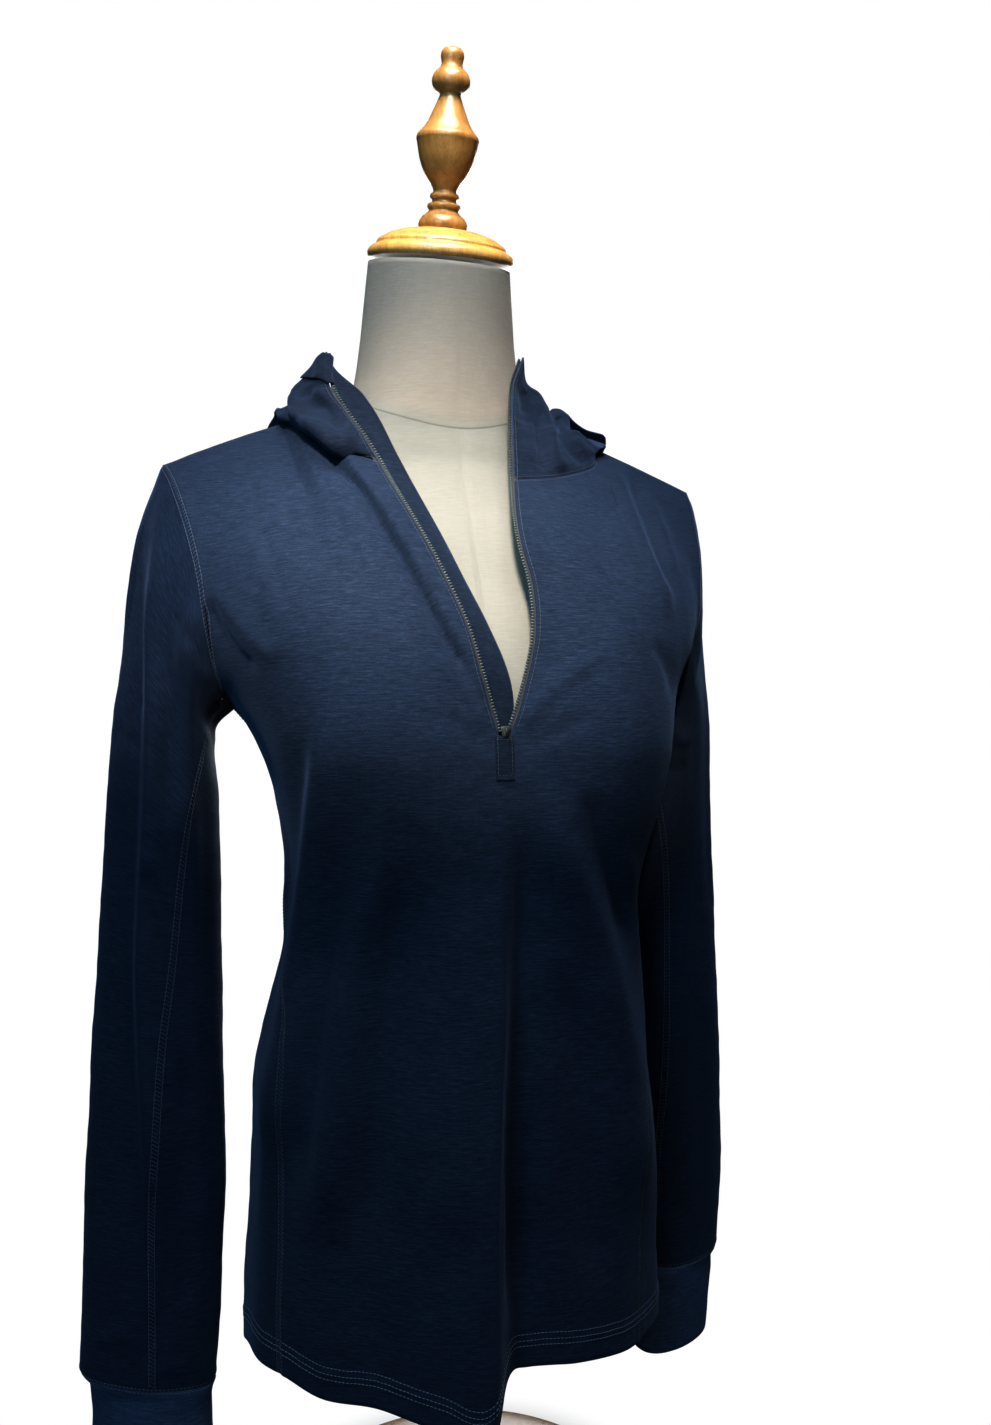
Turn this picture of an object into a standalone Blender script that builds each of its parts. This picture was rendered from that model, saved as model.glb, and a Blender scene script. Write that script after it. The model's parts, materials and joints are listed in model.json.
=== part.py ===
"""A fine-knit half-zip pullover hoodie on a limbless, linen-covered dress form with a turned wooden cap.

Lengths in the tables are centimetres.  X is the wearer's left, the wearer faces -Y, and the tables'
heights are measured from the tips of the shoulders, which stand SHOULDER_Z above the base's underside.
The pullover is cut as front, back, two side panels, two sleeves, two cuffs and two hood halves; every
panel is a wall of cloth on one shared set of surfaces, so neighbours meet along the same seam lines.
"""

import math

import bmesh
import bpy
import numpy as np

CM = 0.01
SHOULDER_Z = 74.0        # shoulder tips above the base's underside
CLOTH = 0.14             # thickness of the knit wall
SEAM_GAP = 0.036         # space between two pieces along a seam
UNDERARM = -14.7         # height of the underarm
ZIP_BASE = -17.2         # height where the zip ends
DEG = math.pi / 180.0

# number of facets: rows of the body below and above the underarm, columns of each panel
LOW_ROWS, HIGH_ROWS = 13, 8
SHOULDER_COLS, NECK_COLS, BACK_NECK_COLS, SIDE_COLS = 5, 4, 8, 3
SLEEVE_ROWS, CUFF_ROWS = 15, 3

# ------------------------------------------------------------------ tables
# sections of the body: height, middle (x, y), half width, depth to the front, depth to the back
BODY = (
    # z      xc     yc    half   front  back
    (-62.0, -0.2,  0.0,  14.1,  10.3,  11.3),
    (-57.0, -0.2,  0.0,  14.1,  10.3,  11.3),
    (-52.0, -0.2,  0.0,  14.0,  10.4,  11.2),
    (-47.0,  0.0, -0.2,  13.8,  10.4,  10.8),
    (-43.0, -0.1, -0.4,  13.5,  10.4,  10.4),
    (-39.0, -0.3, -0.7,  13.2,  10.2,   9.8),
    (-36.0, -0.1, -0.9,  12.8,  10.0,   9.2),
    (-33.0,  0.1, -1.1,  12.3,   9.8,   8.6),
    (-30.5,  0.3, -1.2,  11.9,   9.6,   8.3),
    (-28.0,  0.3, -1.2,  11.8,   9.6,   8.4),
    (-25.0,  0.6, -1.0,  12.0,   9.8,   8.8),
    (-22.0,  0.8, -0.7,  12.5,  10.1,   9.3),
    (-19.5,  0.8, -0.4,  13.0,  10.2,   9.9),
    (-17.0,  0.6, -0.2,  13.7,  10.3,  10.3),
    (-14.7,  0.5,  0.0,  14.4,  10.2,  10.6),
    (-12.0,  0.4,  0.2,  14.9,   9.7,  10.7),
    (-9.0,   0.3,  0.4,  15.2,   8.9,  10.5),
)
ROUNDNESS = 2.3          # exponent of the sections, 2 is an ellipse
# the cloth over each bust point
BUST = {"x": 8.3, "z": -13.6, "out": 1.5, "wide": 4.6, "above": 5.5, "below": 5.2}

# lower edge of the body by angle from the centre front, + towards the wearer's left
HEM = (
    # angle    z
    (-180.0, -56.8), (-140.0, -56.9), (-98.0, -56.6), (-80.0, -55.1), (-68.0, -55.2), (-55.0, -56.3),
    (-38.0, -56.5), (-20.0, -57.2), (-5.0, -57.7), (0.5, -56.2), (10.0, -55.8), (30.0, -56.0),
    (50.0, -56.5), (68.0, -57.0), (85.0, -57.2), (130.0, -56.9), (180.0, -56.8),
)
# seams before and behind the two side panels: height against angle from the centre front
SEAM_ANGLE = (
    # z     right  right_back  left  left_back
    (-60.0,  66.0, 114.0, 49.0, 104.0),
    (-50.0,  67.0, 117.0, 50.0, 106.0),
    (-43.0,  68.0, 120.0, 51.0, 109.0),
    (-36.5,  68.0, 125.0, 58.0, 115.0),
    (-34.0,  71.0, 128.0, 64.0, 119.0),
    (-31.5,  83.0, 131.0, 74.0, 123.0),
    (-29.0,  96.0, 133.0, 86.0, 128.0),
    (-25.0, 104.0, 133.0, 99.0, 131.0),
    (-20.0, 104.0, 129.0, 104.0, 129.0),
    (-14.7,  98.0, 120.0, 98.0, 120.0),
)
CENTRE_HEM = -5.0        # angle at which the centre front's fold reaches the hem
# long folds that hang in the body: angle at the top and at the hem, where they start, how far they
# stand out, and how wide they are on their right-hand and left-hand sides (in degrees)
FOLDS = (
    # top    hem    z_top   z_hem    out  wide-  wide+
    (0.0,   -5.5,  -20.0,  -60.0,   2.1,  24.0,   3.2),
    (9.0,    5.0,  -24.0,  -60.0,  -0.9,   7.0,  13.0),
    (-52.0, -72.0, -17.0,  -42.0,   0.5,   9.0,   9.0),
    (-36.0, -46.0, -18.0,  -60.0,  -0.5,  12.0,  12.0),
    (38.0,  40.0,  -18.0,  -60.0,   0.5,  14.0,  12.0),
    (150.0, 146.0, -22.0,  -60.0,   0.8,  12.0,  12.0),
    (-150.0, -148.0, -22.0, -60.0,  0.8,  12.0,  12.0),
    (178.0, 176.0, -18.0,  -60.0,  -0.6,  14.0,  14.0),
)

# armhole seam, from the side panel round the front to the shoulder's tip, and round the back
ARMHOLE_FRONT = (
    # t     x     y      z
    (0.00, 14.5,  1.9, -14.7),
    (0.12, 14.9, -0.6, -14.4),
    (0.28, 15.8, -3.4, -12.8),
    (0.45, 16.5, -4.9, -10.0),
    (0.62, 16.9, -4.8,  -7.0),
    (0.80, 17.5, -3.4,  -3.7),
    (0.92, 18.1, -1.5,  -1.2),
    (1.00, 18.5,  0.0,   0.0),
)
ARMHOLE_BACK = (
    # t     x     y      z
    (0.00, 13.0,  5.6, -14.7),
    (0.12, 13.9,  6.7, -13.9),
    (0.28, 15.0,  7.3, -11.6),
    (0.45, 15.8,  7.0,  -8.9),
    (0.62, 16.5,  6.0,  -6.2),
    (0.80, 17.4,  4.0,  -3.0),
    (0.92, 18.1,  1.7,  -0.9),
    (1.00, 18.5,  0.0,   0.0),
)
# shoulder seam, from its tip to the hood seam
SHOULDER = (
    # u     x     y     z
    (0.0, 18.5, 0.0, 0.0),
    (0.5, 14.8, 0.7, 1.75),
    (1.0, 10.9, 1.1, 3.3),
)
# hood seam from the shoulder seam forward to the zip, on the wearer's right and left
NECK_RIGHT = (
    # u     x      y     z
    (0.0, 10.9,  1.1,  3.3),
    (0.35, 10.2, -1.2,  2.4),
    (0.7,  8.6, -3.3,  0.9),
    (1.0,  6.9, -4.7, -0.1),
)
NECK_LEFT = (
    # u     x      y     z
    (0.0, 10.9,  1.1,  3.3),
    (0.3,  9.9, -1.8,  1.5),
    (0.65, 6.6, -4.2, -0.2),
    (1.0,  3.1, -5.7, -0.9),
)
# hood seam across the back, from the right shoulder seam to the left one
NECK_BACK = (
    # u      x      y     z
    (0.0, -10.9,  1.1,  3.3),
    (0.14, -9.3, 4.5,  3.9),
    (0.3,  -6.4, 7.6,  4.3),
    (0.5,   0.0,  9.2,  4.6),
    (0.7,   6.7,  7.5,  4.3),
    (0.86,  9.9,  4.3,  3.8),
    (1.0,  10.9,  1.1,  3.3),
)
# edges of the open front, from the underarm's height up to the hood seam
ZIP_RIGHT = (
    # t      x      y      z
    (0.0,  -0.95, -10.5, -14.7),
    (0.25, -1.95, -10.3, -10.9),
    (0.48, -3.2,  -9.6,  -7.6),
    (0.68, -4.6,  -8.4,  -4.7),
    (0.85, -5.9,  -6.5,  -2.1),
    (1.0,  -6.9,  -4.7,  -0.1),
)
ZIP_LEFT = (
    # t      x      y      z
    (0.0,   1.25, -10.5, -14.7),
    (0.25,  2.45, -10.2, -11.2),
    (0.48,  2.6,  -9.7,  -8.1),
    (0.68,  2.35, -8.9,  -5.3),
    (0.85,  2.5,  -7.4,  -2.9),
    (1.0,   3.1,  -5.7,  -0.9),
)

# the empty right sleeve, flattened and hanging: its outer edge, its inner edge, and how far it
# stands out to the front and to the back between them; z is the height of each edge
SLEEVE_RIGHT = (
    # s     ox     oy     oz     ix     iy     iz   front back
    (0.00, -18.5,  0.0,   0.0, -14.2,  3.3, -14.8,  6.4,  5.4),
    (0.06, -19.9,  0.7,  -3.6, -15.5,  3.0, -16.2,  5.6,  5.6),
    (0.13, -20.6,  1.3,  -7.4, -15.5,  2.0, -17.8,  4.6,  5.2),
    (0.21, -21.1,  1.8, -12.0, -15.4,  1.0, -20.2,  4.0,  4.6),
    (0.31, -21.7,  2.0, -18.0, -15.6,  0.0, -23.6,  3.6,  4.4),
    (0.45, -22.4,  2.1, -26.6, -15.6, -0.3, -29.2,  3.2,  3.9),
    (0.60, -23.1,  2.1, -35.4, -15.6, -0.5, -36.6,  2.9,  3.4),
    (0.75, -23.7,  2.1, -44.2, -15.5, -0.5, -44.8,  2.6,  3.0),
    (0.90, -24.1,  2.1, -52.2, -15.9, -0.5, -52.6,  2.4,  2.7),
    (1.00, -24.3,  2.1, -56.6, -16.3, -0.5, -57.6,  2.2,  2.5),
)
CUFF_RIGHT = (
    # s     ox     oy     oz     ix     iy     iz   front back
    (0.00, -24.0,  2.0, -56.7, -16.4, -0.4, -57.7,  2.1,  2.4),
    (0.12, -23.8,  2.0, -57.5, -16.5, -0.4, -58.3,  2.1,  2.3),
    (1.00, -23.8,  2.0, -62.7, -16.5, -0.4, -63.3,  2.1,  2.3),
)
SLEEVE_LEFT = (
    # s     ox     oy     oz     ix     iy     iz   front back
    (0.00,  18.5,  0.0,   0.0,  14.2,  3.3, -14.8,  6.2,  5.4),
    (0.06,  19.6,  0.9,  -3.6,  16.0,  3.3, -16.4,  4.9,  5.6),
    (0.13,  20.1,  1.6,  -7.4,  16.1,  2.2, -18.4,  3.7,  5.4),
    (0.21,  20.3,  2.0, -12.0,  15.8,  1.3, -20.8,  3.0,  4.8),
    (0.31,  20.4,  2.2, -18.6,  14.9,  0.5, -24.0,  2.8,  4.6),
    (0.45,  20.7,  2.3, -26.4,  14.4,  0.4, -28.8,  2.7,  4.1),
    (0.60,  21.1,  2.3, -35.0,  14.3,  0.4, -36.2,  2.6,  3.5),
    (0.75,  21.4,  2.3, -43.6,  14.5,  0.4, -44.2,  2.4,  3.0),
    (0.90,  21.3,  2.3, -51.8,  14.9,  0.4, -52.2,  2.2,  2.7),
    (1.00,  20.9,  2.3, -56.1,  15.1,  0.4, -56.6,  2.1,  2.4),
)
CUFF_LEFT = (
    # s     ox     oy     oz     ix     iy     iz   front back
    (0.00,  20.8,  2.2, -56.2,  15.2,  0.5, -56.7,  2.0,  2.3),
    (0.12,  20.6,  2.2, -57.0,  15.0,  0.5, -57.5,  2.0,  2.2),
    (1.00,  20.0,  2.2, -62.3,  14.1,  0.5, -62.8,  2.0,  2.2),
)

# the hood, thrown back: for each place along the hood seam (0 at the right zip edge, 0.5 at the
# centre back, 1 at the left zip edge) the cloth runs from the seam up to a fold, down into the
# pouch, round its bottom, up the outside and to the rim of the face opening
HOOD_RIGHT = (
    # a     fold                pouch inside        bottom               outside              rim
    (0.00, -7.4, -4.4,  1.5,   -7.8, -4.0,  3.1,   -8.1, -3.4,  4.6,   -8.4, -2.7,  6.0,   -8.6, -2.0,  7.3),
    (0.10, -8.9, -3.0,  2.8,   -9.2, -2.3,  3.9,   -9.4, -1.8,  4.9,   -9.4, -1.0,  5.8,   -9.3, -0.4,  6.5),
    (0.18, -10.3, -1.0, 3.6,  -10.3, -0.7,  4.2,  -10.3, -0.4,  4.8,  -10.2,  0.0,  5.3,  -10.0,  0.4,  5.7),
    (0.25, -10.9, 1.3,  4.0,  -10.9,  1.6,  4.5,  -10.8,  2.0,  4.9,  -10.7,  2.4,  5.1,  -10.6,  2.8,  5.2),
    (0.31, -9.6, 4.5,  4.4,   -9.9,  4.9,  4.7,  -10.2,  5.3,  4.8,  -10.4,  5.7,  4.9,  -10.6,  6.1,  5.0),
    (0.37, -7.9,  6.8,  5.3,   -8.3,  8.3,  3.7,   -8.8,  9.9,  0.9,  -10.0, 10.9,  2.7,  -10.5,  9.6,  4.3),
    (0.43, -5.3,  9.4,  5.9,   -5.7, 11.5,  0.9,   -6.0, 13.6, -5.2,   -7.0, 15.0, -0.4,   -6.8, 13.2,  4.4),
    (0.50,  0.0, 10.4,  6.0,    0.0, 12.2, -0.6,    0.0, 14.8, -10.6,   0.0, 17.0, -3.5,    0.0, 15.0,  3.6),
)
HOOD_LEFT = (
    # a     fold                pouch inside        bottom               outside              rim
    (0.50,  0.0, 10.4,  6.0,    0.0, 12.2, -0.6,    0.0, 14.8, -10.6,   0.0, 17.0, -3.5,    0.0, 15.0,  3.6),
    (0.57,  5.6,  9.4,  6.0,    5.8, 11.6,  0.9,    6.0, 13.7, -5.4,    7.0, 15.2, -0.4,    6.8, 13.5,  4.4),
    (0.63,  8.6,  6.6,  5.4,    9.5,  8.2,  3.7,   10.4, 10.0,  0.9,   11.8, 10.9,  2.7,   12.2,  9.6,  4.6),
    (0.69, 10.4,  4.3,  4.6,   11.0,  4.8,  4.8,   11.7,  5.4,  4.5,   12.5,  6.1,  4.4,   12.9,  6.4,  4.8),
    (0.73, 11.2,  2.4,  4.0,   11.7,  2.7,  4.2,   12.2,  3.0,  4.2,   12.7,  3.3,  4.2,   13.1,  3.6,  4.2),
    (0.77, 11.3,  0.8,  3.4,   11.7,  0.9,  3.6,   12.1,  1.1,  3.7,   12.4,  1.3,  3.7,   12.7,  1.5,  3.7),
    (0.81, 10.5, -0.8,  2.9,   10.8, -0.3,  3.5,   11.0,  0.0,  3.9,   11.2,  0.3,  4.1,   11.4,  0.6,  4.2),
    (0.87,  8.4, -2.4,  2.6,    8.7, -1.4,  3.3,    9.0, -0.6,  4.0,    9.0,  0.2,  4.6,    8.9,  0.8,  5.2),
    (0.94,  5.6, -4.4,  1.9,    5.9, -3.5,  3.1,    6.1, -2.6,  4.2,    6.3, -1.6,  5.3,    6.2, -0.8,  6.2),
    (1.00,  3.4, -5.3,  0.9,    3.8, -4.8,  2.6,    4.1, -4.2,  4.4,    4.4, -3.6,  6.1,    4.8, -3.0,  7.8),
)
# places of the stations along the cloth (the bottom has two), and the rows of facets
HOOD_KEYS = (0.0, 0.18, 0.38, 0.54, 0.64, 0.82, 1.0)
HOOD_ROWS = (0.0, 0.09, 0.18, 0.28, 0.38, 0.47, 0.54, 0.59, 0.64, 0.73, 0.82, 0.91, 1.0)

# inner edge of the strip of cloth behind the right-hand zip, by height
FACING_LINE = (
    # z      x      y     z
    (-17.3,  0.85, -10.0, -17.3),
    (-14.6,  0.70,  -9.9, -14.6),
    (-10.4, -0.30,  -9.1, -10.4),
    (-6.9,  -1.45,  -8.0,  -6.9),
    (-3.5,  -2.75,  -6.4,  -3.5),
    (0.6,   -4.3,   -4.2,   0.6),
    (3.9,   -5.7,   -3.0,   3.9),
    (7.4,   -7.4,   -2.1,   7.4),
)

# the dress form: height, middle (y), half width, depth to the front and back, roundness
FORM = (
    # z      yc    half  front  back  round
    (-50.0,  0.0,  12.6,  8.9,  9.3, 2.3),
    (-46.0, -0.1,  12.5,  9.0,  9.0, 2.3),
    (-40.0, -0.5,  12.0,  9.0,  8.4, 2.3),
    (-34.0, -0.9,  11.1,  8.5,  7.4, 2.3),
    (-29.0, -1.1,  10.5,  8.2,  6.8, 2.3),
    (-24.0, -0.8,  10.9,  8.4,  7.4, 2.3),
    (-19.0, -0.4,  11.7,  9.0,  8.4, 2.3),
    (-14.5,  0.0,  12.4,  9.2,  8.9, 2.2),
    (-10.0,  0.4,  13.0,  8.3,  8.8, 2.1),
    (-6.0,   0.8,  13.6,  7.1,  8.4, 1.8),
    (-3.5,   0.8,  13.7,  6.1,  7.5, 1.6),
    (-1.8,   0.9,  13.0,  5.4,  7.0, 1.5),
    (-0.6,   1.0,  11.7,  5.0,  6.6, 1.5),
    (0.6,    1.2,  10.3,  4.7,  6.4, 1.55),
    (1.8,    1.5,   8.9,  4.8,  6.2, 1.7),
    (3.0,    1.8,   7.6,  4.9,  6.3, 1.9),
    (4.2,    1.9,   6.5,  5.1,  6.1, 2.0),
    (6.0,    1.9,   5.9,  5.3,  5.6, 2.0),
    (9.0,    1.6,   5.4,  5.2,  5.2, 2.0),
    (12.0,   1.2,   5.1,  5.0,  5.0, 2.0),
    (14.6,   0.85,  4.85,  4.85, 4.85, 2.0),
)
NECK_TILT = 15.0 * DEG   # how far the cap and finial lean forward
CAP_AT = (0.1, 0.8, 14.85)
# turned profiles, radius and height above the neck's top
CAP = (
    (4.85, 0.04), (4.99, 0.20), (5.00, 0.45), (4.84, 0.72), (4.55, 0.88), (4.45, 0.95), (4.42, 1.10),
    (4.00, 1.46), (3.20, 1.82), (2.30, 2.04), (1.75, 2.12),
)
FINIAL = (
    (1.60, 2.16), (1.66, 2.45), (1.42, 2.95), (1.06, 3.24), (1.00, 3.33), (1.10, 3.50), (1.10, 3.72),
    (0.84, 3.88), (0.82, 4.00), (0.97, 4.15), (0.95, 4.36), (0.78, 4.52), (0.90, 4.88), (1.36, 5.52),
    (1.78, 6.40), (1.98, 7.24), (2.04, 7.52), (2.09, 7.74), (2.04, 7.96), (1.82, 8.20), (1.50, 8.60),
    (1.12, 9.40), (0.80, 10.15), (0.70, 10.5), (0.92, 10.65), (1.20, 10.96), (1.26, 11.34), (1.12, 11.72),
    (0.84, 12.00), (0.74, 12.09), (0.74, 12.98), (0.55, 13.22),
)
POLE_R, POLE_TOP, POLE_FOOT = 1.25, -50.06, -71.6
BASE = ((13.6, -74.0), (14.0, -73.7), (14.0, -72.9), (13.3, -72.3), (9.0, -71.7), (0.0, -71.63))


# ------------------------------------------------------------------ curves
def spline(rows, at):
    """A smooth curve through the rows; the first column is the parameter."""
    rows = np.asarray(rows, float)
    x, y = rows[:, 0], rows[:, 1:]
    h = np.diff(x)[:, None]
    d = np.diff(y, axis=0) / h
    m = np.vstack([d[:1], (h[:-1] * d[1:] + h[1:] * d[:-1]) / (h[:-1] + h[1:]), d[-1:]])
    at = np.clip(np.atleast_1d(np.asarray(at, float)), x[0], x[-1])
    k = np.clip(np.searchsorted(x, at, side="right") - 1, 0, len(x) - 2)
    hk = h[k]
    s = ((at - x[k])[:, None]) / hk
    return ((1 + 2 * s) * (1 - s) ** 2 * y[k] + s * (1 - s) ** 2 * hk * m[k]
            + s * s * (3 - 2 * s) * y[k + 1] + s * s * (s - 1) * hk * m[k + 1])


def ease(x):
    x = np.clip(x, 0.0, 1.0)
    return x * x * (3 - 2 * x)


def unit(v):
    return v / np.maximum(np.linalg.norm(v, axis=-1, keepdims=True), 1e-9)


# ------------------------------------------------------------------ the body's cloth
def body_point(th, z):
    """The body's surface at an angle (degrees from the centre front) and a height."""
    th, z = np.broadcast_arrays(np.asarray(th, float), np.asarray(z, float))
    shape = th.shape
    th, z = th.ravel(), z.ravel()
    row = spline(BODY, z)
    xc, yc, half, front, back = row.T
    s, c = np.sin(th * DEG), np.cos(th * DEG)
    depth = np.where(c > 0, front, back)
    r = ((np.abs(s) / half) ** ROUNDNESS + (np.abs(c) / depth) ** ROUNDNESS) ** (-1 / ROUNDNESS)
    # long folds
    for top, hem, z0, z1, out, wide_r, wide_l in FOLDS:
        f = np.clip((z - z0) / (z1 - z0), 0, 1)
        d = (th - (top + (hem - top) * f) + 180) % 360 - 180
        w = np.where(d < 0, wide_r, wide_l)
        r = r + out * ease(f * 1.15) * np.exp(-(np.abs(d) / w) ** 1.6)
    x, y = xc * np.abs(s) + r * s, yc - r * c
    b = BUST
    tall = np.where(z > b["z"], b["above"], b["below"])
    for side in (-1, 1):
        lift = b["out"] * np.exp(-((x - side * b["x"]) / b["wide"]) ** 2 - ((z - b["z"]) / tall) ** 2)
        lift = np.where(c > 0, lift * ease(c * 2.5), 0)
        y = y - lift * 0.94
        x = x + side * lift * 0.34
    return np.stack([x, y, z], -1).reshape(shape + (3,))


def low_body(th, v):
    """The body from its hem (v = 0) to the underarm (v = 1)."""
    hem = spline(HEM, np.ravel(th))[:, 0].reshape(np.shape(th))
    return body_point(th, hem + v * (UNDERARM - hem))


def seam_angles(v):
    z = -56.5 + v * (UNDERARM + 56.5)
    rows = spline(SEAM_ANGLE, z).T
    return {-1: (rows[0], rows[1]), 1: (rows[2], rows[3])}


def mirror(p, side):
    p = np.array(p, float)
    p[..., 0] *= side
    return p


def columns(bottom, grow, top, arrive, left, right, u, t):
    """Fills a panel between four edges, leaving `bottom` along `grow` and reaching `top` along `arrive`."""
    length = np.linalg.norm(top - bottom, axis=-1, keepdims=True)

    def at(tt):
        tt = tt[..., None, None]
        return ((1 + 2 * tt) * (1 - tt) ** 2 * bottom + tt * (1 - tt) ** 2 * length * grow
                + tt * tt * (3 - 2 * tt) * top + tt * tt * (tt - 1) * length * arrive)

    p = at(t)
    e0 = left - p[:, 0]
    e1 = right - p[:, -1]
    w = u[None, :, None]
    return p + (1 - w) ** 1.5 * e0[:, None, :] + w ** 1.5 * e1[:, None, :]


def high_front(side, u, t):
    """The front above the underarm, from the armhole (u = 0) to the open zip edge (u = 1)."""
    neck = NECK_RIGHT if side < 0 else NECK_LEFT
    zip_edge = ZIP_RIGHT if side < 0 else ZIP_LEFT
    split = SHOULDER_COLS / (SHOULDER_COLS + NECK_COLS)
    th0 = side * seam_angles(np.array([1.0]))[side][0][0]
    z0 = spline(zip_edge, 0.0)[0]
    th1 = math.atan2(z0[0], -z0[1]) / DEG
    th = th0 + (th1 - th0) * u
    bottom = body_point(th, UNDERARM)
    below = body_point(th, UNDERARM - 1.0)
    grow = unit(bottom - below)
    top = np.empty((len(u), 3))
    on = u <= split + 1e-9
    top[on] = mirror(spline(SHOULDER, u[on] / split), side)
    top[~on] = mirror(spline(neck, (u[~on] - split) / (1 - split)), side)
    k = ease(u)[:, None]
    arrive = unit((1 - k) * np.array([0.12 * side, 0.90, 0.36]) + k * np.array([-0.35 * side, 0.62, 0.70]))
    left = mirror(spline(ARMHOLE_FRONT, t), side)
    right = spline(zip_edge, t)
    return columns(bottom, grow, top, arrive, left, right, u, t)


def high_back(u, t):
    """The back above the underarm, from the right armhole (u = 0) to the left one (u = 1)."""
    n = 2 * SHOULDER_COLS + BACK_NECK_COLS
    a = SHOULDER_COLS / n
    thb = seam_angles(np.array([1.0]))[1][1][0]
    th = -thb - (360 - 2 * thb) * u
    bottom = body_point((th + 180) % 360 - 180, UNDERARM)
    below = body_point((th + 180) % 360 - 180, UNDERARM - 1.0)
    grow = unit((bottom - below) * np.array([1.0, 0.5, 1.0])) * 0.85
    top = np.empty((len(u), 3))
    r, l = u <= a + 1e-9, u >= 1 - a - 1e-9
    m = ~(r | l)
    top[r] = mirror(spline(SHOULDER, u[r] / a), -1)
    top[l] = spline(SHOULDER, (1 - u[l]) / a)
    top[m] = spline(NECK_BACK, (u[m] - a) / (1 - 2 * a))
    k = np.sin(np.pi * u)[:, None]
    arrive = unit(np.array([0.0, -0.80, 0.55]) * (1 - k) + np.array([0.0, -0.08, 0.99]) * k) * 0.85
    left = mirror(spline(ARMHOLE_BACK, t), -1)
    right = spline(ARMHOLE_BACK, t)
    return columns(bottom, grow, top, arrive, left, right, u, t)


def ring(table, psi, s):
    """A flattened ring of a sleeve or cuff: psi 0 at the outer edge, 90 in front, 180 inside."""
    row = spline(table, s)
    o, i = row[:, 0:3], row[:, 3:6]
    front, back = row[:, 6], row[:, 7]
    mid = (o + i) / 2
    axis = unit((o - i) * np.array([1.0, 1.0, 0.0]))
    fwd = np.stack([axis[:, 1], -axis[:, 0], np.zeros(len(axis))], -1)
    fwd = np.where(fwd[:, 1:2] > 0, -fwd, fwd)
    # near the armhole the ring faces straight ahead
    turn = ease(np.atleast_1d(s) / 0.3)[:, None]
    fwd = unit((1 - turn) * np.array([0.0, -1.0, 0.0]) + turn * fwd)
    c = np.cos(psi)[None, :, None]
    sn = np.sin(psi)[None, :, None]
    stretch = np.sign(sn) * np.abs(sn) ** 0.9
    depth = np.where(sn > 0, front[:, None, None], back[:, None, None])
    return mid[:, None, :] + c * ((o - i) / 2)[:, None, :] + stretch * depth * fwd[:, None, :]


def sleeve(side, start, psi, s):
    """The sleeve leaves the armhole seam `start` and settles into its flattened rings."""
    table = SLEEVE_RIGHT if side < 0 else SLEEVE_LEFT
    p = ring(table, psi, s)
    keep = (1 - ease(s / 0.30))[:, None, None]
    return p + keep * (start - ring(table, psi, np.array([0.0]))[0])[None]


# ------------------------------------------------------------------ hood
def hood(a, s):
    """The hood's cloth: a runs along the hood seam, s from the seam to the rim."""
    start = np.empty((len(a), 3))
    for n, q in enumerate(a):
        start[n] = hood_seam(q)
    stations = np.empty((len(a), 5, 3))
    right = a <= 0.5
    stations[right] = spline(HOOD_RIGHT, a[right]).reshape(-1, 5, 3)
    stations[~right] = spline(HOOD_LEFT, a[~right]).reshape(-1, 5, 3)
    out = np.empty((len(a), len(s), 3))
    for n, q in enumerate(a):
        fold, inside, bottom, outside, rim = stations[n]
        # the bottom of the pouch is a round turn, wide from its inner to its outer side
        level = ease((abs(q - 0.5) - 0.12) / 0.2)
        turn = 0.16 * (outside - inside) * np.array([1.0, 1.0, level])
        path = np.vstack([start[n], fold, inside, bottom - turn, bottom + turn, outside, rim])
        out[n] = spline(np.column_stack([HOOD_KEYS, path]), s)
    return out


NECK_SPLIT = (NECK_COLS / (2 * NECK_COLS + BACK_NECK_COLS))


def hood_seam(q):
    f = NECK_SPLIT
    if q <= f:
        return mirror(spline(NECK_RIGHT, 1 - q / f)[0], -1)
    if q >= 1 - f:
        return spline(NECK_LEFT, 1 - (1 - q) / f)[0]
    return spline(NECK_BACK, (q - f) / (1 - 2 * f))[0]


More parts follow.
